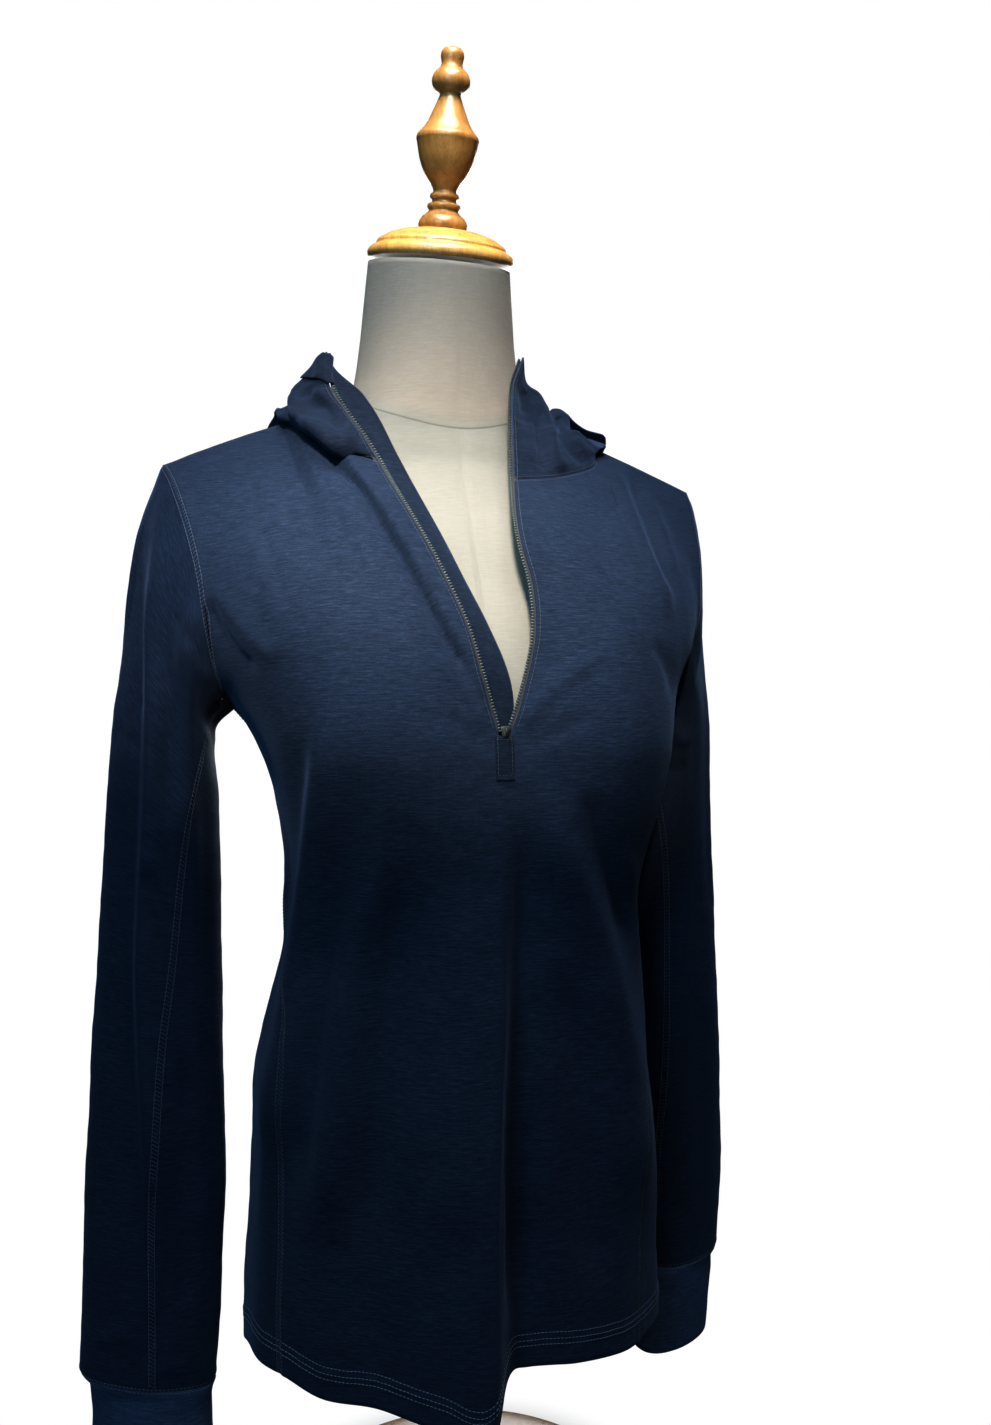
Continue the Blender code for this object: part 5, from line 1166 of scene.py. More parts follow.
sides = {}
for side in (-1, 1):
    fa, ba = angles[side]
    w = np.linspace(0, 1, SIDE_COLS + 1)
    th = side * (fa[:, None] * (1 - w[None]) + ba[:, None] * w[None])
    low = low_body(th, np.repeat(v[:, None], SIDE_COLS + 1, 1))
    f0 = mirror(spline(ARMHOLE_FRONT, 0.0)[0], side)
    b0 = mirror(spline(ARMHOLE_BACK, 0.0)[0], side)
    top = f0 + (b0 - f0) * w[:, None] + np.array([side * 0.5, 0, 0.0]) * (4 * w * (1 - w))[:, None]
    low = low + meet * (top - low[-1])[None]
    sides[side] = Panel("side_panel_%s" % ("right" if side < 0 else "left") + "_knit", [low], (side < 0,), across=(SIDE_COLS // 2,))
under = {side: sides[side].verts[sides[side].grid()[-1]] for side in (-1, 1)}

ub = np.linspace(0, 1, BACK_COLS + 1)
br, bl = angles[-1][1], angles[1][1]
th = -br[:, None] - (360 - br[:, None] - bl[:, None]) * ub[None]
low = low_body((th + 180) % 360 - 180, np.repeat(v[:, None], BACK_COLS + 1, 1))
high = high_back(ub, t)
low = low + meet * (high[0] - low[-1])[None]
back = Panel("back_panel", [soft_join(np.concatenate([low[:-1], high]), 12, 12)], (True,), across=(BACK_COLS // 2,))

# ------------------------------------------------------------------ sleeves, cuffs, hood
FRONT_N, UNDER_N, BACK_N, SLEEVE_N, CUFF_N = 44, 14, 46, 190, 26
sleeves, cuffs = {}, {}
for side in (-1, 1):
    tf, tb = np.linspace(1, 0, FRONT_N + 1), np.linspace(0, 1, BACK_N + 1)
    wu = np.linspace(0, 1, UNDER_N + 1)
    f0, b0 = mirror(spline(ARMHOLE_FRONT, 0.0)[0], side), mirror(spline(ARMHOLE_BACK, 0.0)[0], side)
    bottom = f0 + (b0 - f0) * wu[:, None] + np.array([side * 0.5, 0, 0.0]) * (4 * wu * (1 - wu))[:, None]
    loop = np.vstack([mirror(spline(ARMHOLE_FRONT, tf), side), bottom[1:-1], mirror(spline(ARMHOLE_BACK, tb), side)[:-1]])
    psi = np.concatenate([np.linspace(0, 150, FRONT_N + 1), np.linspace(150, 210, UNDER_N + 1)[1:-1],
                          np.linspace(210, 360, BACK_N + 1)[:-1]]) * DEG
    s = np.linspace(0, 1, SLEEVE_N + 1)
    tube = sleeve(side, loop, psi, s)
    word = "right" if side < 0 else "left"
    flip = side < 0
    sleeves[side] = Panel("sleeve_%s_knit" % word, [tube], (flip,), closed=True)
    table = CUFF_RIGHT if side < 0 else CUFF_LEFT
    sc = np.linspace(0, 1, CUFF_N + 1)
    tube_c = ring(table, psi, sc)
    tube_c = tube_c + ((1 - ease(sc / 0.12))[:, None, None]) * (tube[-1] - tube_c[0])[None]
    cuffs[side] = Panel("cuff_%s_knit" % word, [tube_c], (flip,), closed=True)

HOOD_A, HOOD_S = 128, 116
a = np.linspace(0, 1, HOOD_A + 1)
hood_sheet = hood(a, np.linspace(0, 1, HOOD_S + 1)).transpose(1, 0, 2)
hood_mid = HOOD_A // 2
hoods = {-1: Panel("hood_right_knit", [hood_sheet[:, :hood_mid + 1]], (True,)),
         1: Panel("hood_left_knit", [hood_sheet[:, hood_mid:]], (True,))}

# ------------------------------------------------------------------ shape the cloth
def flat_xz(p):
    return p[:, [0, 2]]


def mirrored_xz(p):
    return np.stack([np.abs(p[:, 0]), p[:, 2]], -1)


# the sleeves' seams come round to the front: their lines in the picture's plane
SLEEVE_SEAM = {
    -1: ((224, 696), (216, 707), (207, 735), (198, 770), (190, 800), (184, 850), (178, 900), (174, 950), (170, 985),
         (164, 1030), (160, 1080), (158, 1120), (156, 1160), (153, 1200), (152, 1300), (152, 1400)),
    1: ((648, 748), (657, 790), (664, 840), (667, 900), (667, 980), (665, 1060), (662, 1110), (658, 1150), (655, 1200),
        (652, 1260)),
}


def sleeve_seam(side):
    """Distance round the sleeve, from its outer edge, at which its seam runs, for each row."""
    p = sleeves[side]
    ids = p.grid()
    q, look, run = picture(p.verts[ids]), p.facing()[ids], p.knit[ids][:, :, 0]
    line = smooth_line(SLEEVE_SEAM[side])
    off = q[:, :, 0] - np.interp(q[:, :, 1], line[:, 1], line[:, 0])
    found, at = [], []
    for r in range(len(ids)):
        for k in range(FRONT_N + UNDER_N - 1):
            if off[r, k] < 0 <= off[r, k + 1] or off[r, k] >= 0 > off[r, k + 1]:
                if min(look[r, k], look[r, k + 1]) > 0 and line[0, 1] < q[r, k, 1] < line[-1, 1]:
                    f = off[r, k] / (off[r, k] - off[r, k + 1])
                    found.append(r)
                    at.append(run[r, k] + f * (run[r, k + 1] - run[r, k]))
                    break
    start = run[0, FRONT_N + UNDER_N // 2]
    rows, at = np.array([0] + found), np.array([start] + at)
    out = np.interp(np.arange(len(ids)), rows, at)
    keep = np.convolve(np.pad(out, 6, mode="edge"), np.ones(13) / 13, mode="valid")
    keep[:4] = out[:4]
    return keep


def across_rows(panel, target, n=0):
    """The line through each row of a grid at a given run along it."""
    ids = panel.grid(n)
    run = panel.knit[ids][:, :, 0]
    p, m = panel.verts[ids], panel.normals[ids]
    line = [[np.interp(w, r, a[:, k]) for k in range(3)] for w, r, a in zip(target, run, p)]
    nrm = [[np.interp(w, r, a[:, k]) for k in range(3)] for w, r, a in zip(target, run, m)]
    return np.array(line), unit(np.array(nrm))


seam_at = {side: sleeve_seam(side) for side in (-1, 1)}

def neck_distance(panel):
    """Distance down from the part of the top edge that the hood is sewn to."""
    d = np.full(len(panel.verts), 99.0)
    if panel is front:
        for n in (0, 1):
            down = edge_distance(panel, n, "top")
            ids = panel.grid(n)
            split = int(round(HALF_COLS * SHOULDER_COLS / (SHOULDER_COLS + NECK_COLS)))
            keep = np.full(len(panel.verts), 99.0)
            keep[ids[:, split:].ravel()] = 0
            d = np.minimum(d, down + keep)
    elif panel is back:
        down = edge_distance(panel, 0, "top")
        ids = panel.grid()
        split = int(round(BACK_COLS * SHOULDER_COLS / (2 * SHOULDER_COLS + BACK_NECK_COLS)))
        keep = np.full(len(panel.verts), 99.0)
        keep[ids[:, split:-split].ravel()] = 0
        d = down + keep
    return d


hem_band = {}
for panel in (front, back, sides[-1], sides[1]):
    d_hem = np.full(len(panel.verts), 99.0)
    d_seam = np.full(len(panel.verts), 99.0)
    for n in range(len(panel.slices)):
        d_hem = np.minimum(d_hem, edge_distance(panel, n, "bottom"))
        d_seam = np.minimum(d_seam, edge_distance(panel, n, "left"))
        if panel is not front:
            d_seam = np.minimum(d_seam, edge_distance(panel, n, "right"))
        if panel is front or panel is back:
            d_seam = np.minimum(d_seam, edge_distance(panel, n, "top"))
    hem_band[panel.name] = d_hem
    h = ripple(panel.verts)
    # the folds die out at the back's side seams, so that the two edges of each seam stay together
    if panel is back:
        d_back = np.minimum(edge_distance(panel, 0, "left"), edge_distance(panel, 0, "right"))
        h += folded(panel.verts, BACK_FOLDS, flat_xz) * ease(d_back / 1.6)
    else:
        keep = 1.0 if panel is front else ease(edge_distance(panel, 0, "right") / 1.6)
        h += folded(panel.verts, FRONT_FOLDS + SIDE_RIGHT_FOLDS, picture, panel.facing()) * keep
    h += seam_profile(d_seam)
    # the neck edge keeps its place, so that the hood's edge meets it
    h *= ease(neck_distance(panel) / 0.45 + 0.02)
    # the hem is turned up twice the cloth, and draws in a little along its stitches
    h += 0.045 * ease((1.95 - d_hem) / 0.12) - 0.022 * np.exp(-((d_hem - 1.98) / 0.10) ** 2)
    pucker = np.sin(panel.knit[:, 0] * 5.1 + 1.7 * np.sin(panel.knit[:, 0] * 0.9)) * np.exp(-((d_hem - 1.6) / 0.9) ** 2)
    h += 0.014 * pucker
    panel.raise_by(h)
    # the courses of the knit run level round the body
    lift = ease((panel.verts[:, 2] + 16.0) / 10.0)
    panel.knit[:, 1] = panel.verts[:, 2] + 0.40 * lift * (panel.verts[:, 1] * (-1 if panel is back else 1) + 10.0)


def rolled(points, folds, way, hold):
    """A roll that leans one way, and leaves the sewn edge where it is."""
    return (folded(points, folds, picture, ends=0.07) * hold)[:, None] * unit(np.array(way))[None]


front.move_by(rolled(front.verts, ROLL_FOLDS, ROLL_WAY, ease(neck_distance(front) / 0.5)))
for side in (-1, 1):
    p = sleeves[side]
    look = p.facing()
    h = ripple(p.verts, 1.1) + folded(p.verts, SLEEVE_RIGHT_FOLDS if side < 0 else SLEEVE_LEFT_FOLDS, picture, look)
    h += folded(p.verts, SLEEVE_BACK_FOLDS, mirrored_xz, np.sum(p.normals * np.array([0, 1.0, 0]), -1))
    h += seam_profile(edge_distance(p, 0, "bottom")) + seam_profile(edge_distance(p, 0, "top"))
    rows_of = np.repeat(seam_at[side][:, None], p.grid().shape[1], 1)
    off = np.full(len(p.verts), 9.0)
    off[p.grid().ravel()] = np.abs(p.knit[p.grid()][:, :, 0] - rows_of).ravel()
    h += 1.25 * seam_profile(off) + 0.03 * np.exp(-(off / 0.42) ** 2)
    p.raise_by(h)
    c = cuffs[side]
    h = ripple(c.verts, 0.8) + seam_profile(edge_distance(c, 0, "bottom"))
    h += 0.016 * np.sin(c.knit[:, 0] * 4.3) * np.exp(-(edge_distance(c, 0, "bottom") / 1.2) ** 2)
    c.raise_by(h)
    g = hoods[side]
    h = ripple(g.verts, 0.9) + 0.03 * np.sin(0.9 * g.knit[:, 0] + 0.6 * g.knit[:, 1]) * np.sin(1.3 * g.knit[:, 1])
    h += folded(g.verts, HOOD_RIGHT_FOLDS if side < 0 else HOOD_LEFT_FOLDS, picture, g.facing())
    h += seam_profile(edge_distance(g, 0, "right" if side < 0 else "left"))
    h *= ease(edge_distance(g, 0, "bottom") / 0.45 + 0.02)
    g.raise_by(h)
g = hoods[-1]
g.move_by(rolled(g.verts, COLLAR_FOLDS, COLLAR_WAY, ease(edge_distance(g, 0, "bottom") / 0.6) * (g.verts[:, 1] < -0.5)))

pieces = {}
pieces["front"] = front.wall([knit, knit_inner], inner_mat=1)
pieces["back"] = back.wall([knit, knit_inner], inner_mat=1)
for side, word in ((-1, "right"), (1, "left")):
    pieces["side_" + word] = sides[side].wall([knit_side_painted_shade, knit_inner], inner_mat=1)
    pieces["sleeve_" + word] = sleeves[side].wall([knit_sleeve_painted_shade, knit_inner], inner_mat=1)
    pieces["cuff_" + word] = cuffs[side].wall([knit_cuff_painted_light, knit_inner], inner_mat=1)
    pieces["hood_" + word] = hoods[side].wall([knit_hood_painted_shade, knit_hood_inner_painted_light], inner_mat=1)

# ------------------------------------------------------------------ stitches
def flatlock(stitches, panel, ids, edge_first, pitch=0.25):
    """Half of a flatlock seam: one row of stitches on this side of the join."""
    line, nrm = parallel(panel, ids, edge_first, 0.20)
    stitches.row(line, nrm, pitch, pitch * 0.80, 0.019)
    return line, nrm


def cover(stitches, panel, ids, edge_first, other, pitch=0.25):
    line, nrm = flatlock(stitches, panel, ids, edge_first, pitch)
    stitches.zigzag(line + nrm * 0.012, other + nrm.mean(0) * 0.0, nrm, pitch, 0.010)
    return line, nrm


body_seams = Stitches()
lines = {}
for side in (-1, 1):
    gi = front.grid(0 if side < 0 else 1)
    gs, gb = sides[side].grid(), back.grid()
    a1, n1 = flatlock(body_seams, front, gi[:LOW + 1, :14], True)
    a2, n2 = flatlock(body_seams, sides[side], gs[:, :12], True)
    body_seams.zigzag(a1 + n1 * 0.006, a2, n1, 0.25, 0.011)
    b1, m1 = flatlock(body_seams, sides[side], gs[:, -12:], False)
    bid = gb[:LOW + 1, :14] if side < 0 else gb[:LOW + 1, -14:]
    b2, m2 = flatlock(body_seams, back, bid, side < 0)
    body_seams.zigzag(b1 + m1 * 0.006, b2, m1, 0.25, 0.011)
    # shoulder
    split = int(round(HALF_COLS * SHOULDER_COLS / (SHOULDER_COLS + NECK_COLS)))
    s1, k1 = flatlock(body_seams, front, gi[-12:, :split + 1].T, False)
    sb = int(round(BACK_COLS * SHOULDER_COLS / (2 * SHOULDER_COLS + BACK_NECK_COLS)))
    bb = gb[-12:, :sb + 1].T if side < 0 else gb[-12:, -sb - 1:][:, ::-1].T
    s2, k2 = flatlock(body_seams, back, bb, False)
    body_seams.zigzag(s1 + k1 * 0.006, s2, k1, 0.25, 0.011)
body_thread = body_seams.object("side_and_shoulder_stitches", body_seam_thread)

arm_seams = Stitches()
for side in (-1, 1):
    gi, gs, gb = front.grid(0 if side < 0 else 1), sides[side].grid(), back.grid()
    fl, fn = parallel(front, gi[LOW:, :14], True, 0.20)
    ul, un = parallel(sides[side], gs[-12:, :].T, False, 0.20)
    bl_, bn = parallel(back, gb[LOW:, :14] if side < 0 else gb[LOW:, -14:], side < 0, 0.20)
    body_line = np.vstack([fl[::-1], ul[1:-1], bl_])
    body_n = np.vstack([fn[::-1], un[1:-1], bn])
    arm_seams.row(body_line, body_n, 0.25, 0.20, 0.019)
    gl = sleeves[side].grid()
    sl, sn = parallel(sleeves[side], gl[:16, :].T, True, 0.20)
    sl, sn = np.vstack([sl, sl[:1]]), np.vstack([sn, sn[:1]])
    arm_seams.row(sl, sn, 0.25, 0.20, 0.019)
    # cover threads, matched by the nearest point across the join
    p, n = resample(body_line, body_n, 0.25)
    q, _ = resample(sl, sn, 0.05)
    near = np.array([q[np.argmin(np.linalg.norm(q - x, axis=1))] for x in p])
    ok = np.linalg.norm(near[1:] - p[:-1], axis=1) < 0.75
    arm_seams.add((p[:-1] + n[:-1] * 0.006)[ok], near[1:][ok], n[:-1][ok], 0.011, 0.8)
    # cuff seam
    gc = cuffs[side].grid()
    c1, cn = parallel(sleeves[side], gl[-12:, :].T, False, 0.17)
    c2, cm = parallel(cuffs[side], gc[:8, :].T, True, 0.17)
    c1, cn, c2, cm = [np.vstack([x, x[:1]]) for x in (c1, cn, c2, cm)]
    arm_seams.row(c1, cn, 0.25, 0.20, 0.019)
    arm_seams.row(c2, cm, 0.25, 0.20, 0.019)
    arm_seams.zigzag(c1 + cn * 0.006, c2, cn, 0.25, 0.011)
arm_thread = arm_seams.object("armhole_and_cuff_stitches", seam_thread)


sleeve_seams = Stitches()
for side in (-1, 1):
    one, n1 = across_rows(sleeves[side], seam_at[side] - 0.19)
    two, n2 = across_rows(sleeves[side], seam_at[side] + 0.19)
    sleeve_seams.row(one[1:-1], n1[1:-1], 0.25, 0.20, 0.020)
    sleeve_seams.row(two[1:-1], n2[1:-1], 0.25, 0.20, 0.020)
    sleeve_seams.zigzag(one[1:-1] + n1[1:-1] * 0.004, two[1:-1], n1[1:-1], 0.25, 0.012)
sleeve_thread = sleeve_seams.object("sleeve_seam_stitches", seam_thread)

hem_rows = Stitches()
for high_ in (2.0, 1.63, 1.30):
    for side in (-1, 1):
        gi = front.grid(0 if side < 0 else 1)
        line, nrm = parallel(front, gi[:14, :].T, True, high_)
        hem_rows.row(line, nrm, 0.24, 0.185, 0.021)
        line, nrm = parallel(sides[side], sides[side].grid()[:14, :].T, True, high_)
        hem_rows.row(line, nrm, 0.24, 0.185, 0.021)
    line, nrm = parallel(back, back.grid()[:14, :].T, True, high_)
    hem_rows.row(line, nrm, 0.24, 0.185, 0.021)
hem_thread_rows = hem_rows.object("hem_stitches", hem_thread)

hood_rows = Stitches()
for side in (-1, 1):
    gh = hoods[side].grid()
    rim, rn = parallel(hoods[side], gh[-12:, :].T, False, 0.75)
    hood_rows.row(rim, rn, 0.27, 0.21, 0.018)
    foot, fn = parallel(hoods[side], gh[:9, :].T, True, 0.18)
    hood_rows.row(foot, fn, 0.25, 0.20, 0.019)
    gi = front.grid(0 if side < 0 else 1)
    split = int(round(HALF_COLS * SHOULDER_COLS / (SHOULDER_COLS + NECK_COLS)))
    body, bn = parallel(front, gi[-10:, split:].T, False, 0.18)
    hood_rows.row(body, bn, 0.25, 0.20, 0.019)
    cb = gh[:, -12:] if side < 0 else gh[:, :12]
    mid_line, mn = parallel(hoods[side], cb, side > 0, 0.18)
    hood_rows.row(mid_line, mn, 0.25, 0.20, 0.019)
sb = int(round(BACK_COLS * SHOULDER_COLS / (2 * SHOULDER_COLS + BACK_NECK_COLS)))
body, bn = parallel(back, back.grid()[-10:, sb:-sb].T, False, 0.18)
hood_rows.row(body, bn, 0.25, 0.20, 0.019)


# topstitching along the opening, from the foot of the zip to the top of the collar
for side in (-1, 1):
    gi = front.grid(0 if side < 0 else 1)
    by, bn = parallel(front, gi[zip_row + 2:, -12:], False, 0.22)
    hood_rows.row(by, bn, 0.25, 0.22, 0.019)
    gh = hoods[side].grid()
    by, bn = parallel(hoods[side], gh[:, :12] if side < 0 else gh[:, -12:], side < 0, 0.22)
    hood_rows.row(by, bn, 0.25, 0.22, 0.019)


def bar_tack(at, way, normal, long=0.8, wide=0.2):
    way, normal = unit(np.asarray(way, float)), unit(np.asarray(normal, float))
    cross = unit(np.cross(normal, way))
    k = np.linspace(-0.5, 0.5, 15)[:, None]
    a_ = at + way * long * k + cross * wide / 2 + normal * 0.02
    b_ = at + way * long * k - cross * wide / 2 + normal * 0.02
    n_ = np.repeat(normal[None], 15, 0)
    hood_rows.add(a_, b_, n_, 0.024)
    hood_rows.add(a_[:1] - cross * wide / 2, a_[-1:] - cross * wide / 2, n_[:1], 0.03)


def tack_at(side, f):
    """A bar tack on the neck seam, at a share of the way from the shoulder seam to the zip."""
    gi = front.grid(0 if side < 0 else 1)
    split = int(round(HALF_COLS * SHOULDER_COLS / (SHOULDER_COLS + NECK_COLS)))
    ids = gi[-1, split:]
    k = int(f * (len(ids) - 1))
    k = min(max(k, 1), len(ids) - 2)
    bar_tack(front.verts[ids[k]], front.verts[ids[k + 1]] - front.verts[ids[k - 1]], front.normals[ids[k]])


tack_at(-1, 0.88)
tack_at(1, 0.16)
hood_thread = hood_rows.object("hood_stitches", neck_thread_painted_shade)


# ------------------------------------------------------------------ zip
def opening(side):
    gi = front.grid(0 if side < 0 else 1)[zip_row + 1:, -1]
    gh = hoods[side].grid()[1:, 0 if side < 0 else -1]
    line = np.vstack([front.verts[gi], hoods[side].verts[gh]])
    nrm = np.vstack([front.normals[gi], hoods[side].normals[gh]])
    line, nrm = resample(line, nrm, 0.19)
    for _ in range(12):
        nrm[1:-1] = unit(nrm[:-2] + nrm[1:-1] + nrm[2:])
        line[1:-1] = line[1:-1] * 0.6 + (line[:-2] + line[2:]) * 0.2
    run = unit(np.gradient(line, axis=0))
    across = unit(np.cross(nrm, run))
    across = np.where(np.sum(across * [[-side, -0.4, 0]], -1, keepdims=True) < 0, -across, across)
    if side < 0:
        aim = spline(FACING_LINE, line[:, 2]) - line
    else:
        aim = np.stack([-np.ones(len(line)), 0.25 + 0 * line[:, 0], 0 * line[:, 0]], -1)
    aim = unit(aim - run * np.sum(run * aim, -1, keepdims=True))
    way = unit(across + aim)
    way = unit(way - run * np.sum(run * way, -1, keepdims=True))
    for _ in range(10):
        way[1:-1] = unit(way[:-2] + way[1:-1] + way[2:])
    out = unit(np.cross(run, way))
    out = np.where(out[:, 1:2] > 0, -out, out)
    return line, run, way, out


def sheet_panel(name, grid, outward, mats, thickness, inset=0.0):
    test = Panel(name, [grid], (False,))
    flip = float(np.sum(test.normals * outward.reshape(-1, 3))) < 0
    return Panel(name, [grid], (flip,)).wall(mats, thickness, inset)


zips, zip_line = {}, {}
teeth = Stitches()
for side, word in ((-1, "right"), (1, "left")):
    line, run, way, out = opening(side)
    zip_line[side] = (line, run, way, out)
    last = int(np.argmax(line[:, 2] > 4.9)) if side < 0 else len(line) - 2
    w = np.array([-0.16, 0.02, 0.10, 0.20, 0.30])
    sink = np.array([0.10, 0.075, 0.07, 0.075, 0.085])
    g = line[:last, None, :] + way[:last, None, :] * w[None, :, None] - out[:last, None, :] * sink[None, :, None]
    zips[side] = sheet_panel("zip_tape_" + word, g, np.repeat(out[:last, None, :], 5, 1), tape, 0.05)
    root = line[:last] + way[:last] * 0.16 - out[:last] * 0.045
    tip = line[:last] + way[:last] * 0.37 - out[:last] * 0.055
    teeth.add(root, tip, out[:last], 0.042, 1.1, 6)
teeth_obj = teeth.object("zip_coils", coil)

# the strip behind the right-hand zip
line, run, way, out = zip_line[-1]
outer = line + way * 0.20 - out * 0.20
inner = spline(FACING_LINE, outer[:, 2])
inner[:, 2] = outer[:, 2]
point = ease((outer[:, 2] - 4.6) / 2.6)[:, None]
inner = inner + point * (outer - inner) * 0.90
w = np.linspace(0, 1, 15)
lead = unit(np.cross(run, unit(inner - outer)))
lead = np.where(lead[:, 1:2] > 0, -lead, lead)
bulge = 0.10 * np.sin(np.pi * w) ** 0.8
g = outer[:, None, :] * (1 - w[None, :, None]) + inner[:, None, :] * w[None, :, None] + lead[:, None, :] * bulge[None, :, None]
g = g + lead[:, None, :] * (0.03 * np.sin(0.9 * outer[:, 2])[:, None] * np.sin(2.2 * w)[None, :])[:, :, None]
facing = sheet_panel("zip_facing_strip", g, np.repeat(lead[:, None, :], 15, 1), facing_knit, 0.10)

# its top folds outward over the corner of the collar, and covers the zip's end
gh = hoods[-1].grid()
H, HN = hoods[-1].verts[gh], hoods[-1].normals[gh]


def on_hood(r, c):
    r, c = np.clip(r, 0, H.shape[0] - 1.001), np.clip(c, 0, H.shape[1] - 1.001)
    i, j = np.floor(r).astype(int), np.floor(c).astype(int)
    f, g_ = (r - i)[..., None], (c - j)[..., None]
    out_ = []
    for m in (H, HN):
        out_.append((m[i, j] * (1 - f) + m[i + 1, j] * f) * (1 - g_) + (m[i, j + 1] * (1 - f) + m[i + 1, j + 1] * f) * g_)
    return out_[0], unit(out_[1])


n_p = 16
pp = np.linspace(0.0, 1.0, n_p)[:, None]
qq = np.linspace(0.0, 1.0, n_p)[None, :]
rows_, cols_ = HOOD_S - pp * (1 - qq) * 43.0, pp * qq * 13.0
P, N = on_hood(rows_ + 0 * qq, cols_)
P = P + N * (0.13 + 0.05 * np.sin(np.pi * np.clip(pp * 0.9, 0, 1)) * np.sin(np.pi * (0.15 + 0.7 * qq)))[..., None]
edge_way = np.stack([np.interp(P[:, 0, 2], line[:, 2], way[:, k]) for k in range(3)], -1)
wrap = [P[:, 0] + edge_way * 0.30 - N[:, 0] * 0.42, P[:, 0] + edge_way * 0.34 - N[:, 0] * 0.18, P[:, 0] + edge_way * 0.22 + N[:, 0] * 0.0]
g = np.concatenate([np.stack(wrap, 1), P], axis=1)
gn = np.concatenate([np.repeat(N[:, :1], 3, 1), N], axis=1)
garage = sheet_panel("zip_garage", g[1:], gn[1:], facing_knit, 0.10)


# slider at the foot of the zip, and the tab below it
def surface_y(x, z):
    """The front's outer face at x, z: its nearest points, evened out."""
    p = front.verts
    near = p[(np.abs(p[:, 0]) < 3) & (p[:, 2] < ZIP_BASE + 1.0) & (p[:, 2] > ZIP_BASE - 5) & (p[:, 1] < 0)]
    d = (near[None, :, 0] - np.ravel(x)[:, None]) ** 2 + (near[None, :, 2] - np.ravel(z)[:, None]) ** 2
    w_ = np.exp(-d / 0.06)
    return ((w_ * near[None, :, 1]).sum(1) / w_.sum(1)).reshape(np.shape(x))


TAB_X, TAB_TOP, TAB_FOOT = (-0.60, 0.60), ZIP_BASE + 0.12, ZIP_BASE - 2.52
nx, nz = 17, 33
tx = np.linspace(0, 1, nx)[None, :] + np.zeros((nz, 1))
tz = np.linspace(0, 1, nz)[:, None] + np.zeros((1, nx))
X = TAB_X[0] + (TAB_X[1] - TAB_X[0]) * tx
Z = TAB_TOP + (TAB_FOOT - TAB_TOP) * tz
edge_d = np.minimum(np.minimum(tx, 1 - tx) * 1.2, np.minimum(tz, 1 - tz) * 2.64)
pad = 0.055 * ease(edge_d / 0.14) ** 0.6 - 0.030 * np.exp(-((edge_d - 0.16) / 0.06) ** 2)
pad += 0.10 * np.exp(-((1 - tz) * 2.64 / 0.17) ** 2) * ease(tx * 1.2 / 0.1) * ease((1 - tx) * 1.2 / 0.1)
Y = surface_y(X, Z) - 0.02 - pad
g = np.stack([X, Y, Z], -1)
tab = sheet_panel("zip_tab", g, np.zeros_like(g) + [0, -1.0, 0], facing_knit, 0.10)
tab_rows = Stitches()
corner = np.array([[TAB_X[0] + 0.15, TAB_TOP - 0.12], [TAB_X[0] + 0.15, TAB_FOOT + 0.30], [TAB_X[1] - 0.15, TAB_FOOT + 0.30],
                   [TAB_X[1] - 0.15, TAB_TOP - 0.12]])
for k in range(3):
    f = np.linspace(0, 1, 24)[:, None]
    xz = corner[k] * (1 - f) + corner[k + 1] * f
    y = surface_y(xz[:, 0], xz[:, 1]) - 0.02 - 0.035
    tab_rows.row(np.stack([xz[:, 0], y, xz[:, 1]], -1), np.zeros((24, 3)) + [0, -1.0, 0], 0.24, 0.19, 0.018)
f = np.linspace(0, 1, 12)[:, None]
for dz in (0.0, 0.10):
    xz = np.array([[TAB_X[0] + 0.10, TAB_TOP - 0.12 - dz]]) * (1 - f) + np.array([[TAB_X[1] - 0.10, TAB_TOP - 0.12 - dz]]) * f
    y = surface_y(xz[:, 0], xz[:, 1]) - 0.02 - 0.040
    tab_rows.row(np.stack([xz[:, 0], y, xz[:, 1]], -1), np.zeros((12, 3)) + [0, -1.0, 0], 0.20, 0.16, 0.018)
tab_thread = tab_rows.object("zip_tab_stitches", zip_thread)


def rounded_plate(centre, top, foot, tall, thick, bevel=0.035, n=7):
    """A plate in the x-z plane with round corners and edges: half widths at its top and foot."""
    pts = []
    for sx, sz, half in ((1, 1, top), (-1, 1, top), (-1, -1, foot), (1, -1, foot)):
        r = min(0.12, half * 0.5)
        c = np.array([sx * (half - r), sz * (tall / 2 - r)])
        a0 = {(1, 1): 0, (-1, 1): 90, (-1, -1): 180, (1, -1): 270}[(sx, sz)]
        for a_ in np.linspace(a0, a0 + 90, n) * DEG:
            pts.append(c + r * np.array([math.cos(a_), math.sin(a_)]))
    pts = np.array(pts)
    inner_ = pts * (1 - bevel / np.maximum(np.linalg.norm(pts, axis=1, keepdims=True), 0.05))
    rings = []
    for depth, shape in ((thick / 2, inner_), (thick / 2 - bevel, pts), (-thick / 2 + bevel, pts), (-thick / 2, inner_)):
        rings.append(np.stack([centre[0] + shape[:, 0], centre[1] + np.full(len(pts), depth), centre[2] + shape[:, 1]], -1))
    m = len(pts)
    verts = np.concatenate(rings)
    quads = np.concatenate([grid_quads(4, m, closed=True)])
    caps = [np.arange(m)[::-1][None], (3 * m + np.arange(m))[None]]
    return verts, [quads] + caps


def joined(name, parts, mat, smooth=False):
    verts, faces, count = [], [], 0
    for v_, f_ in parts:
        verts.append(v_)
        faces += [q + count for q in f_]
        count += len(v_)
    return mesh_object(name, np.concatenate(verts), faces, mat, smooth=smooth)


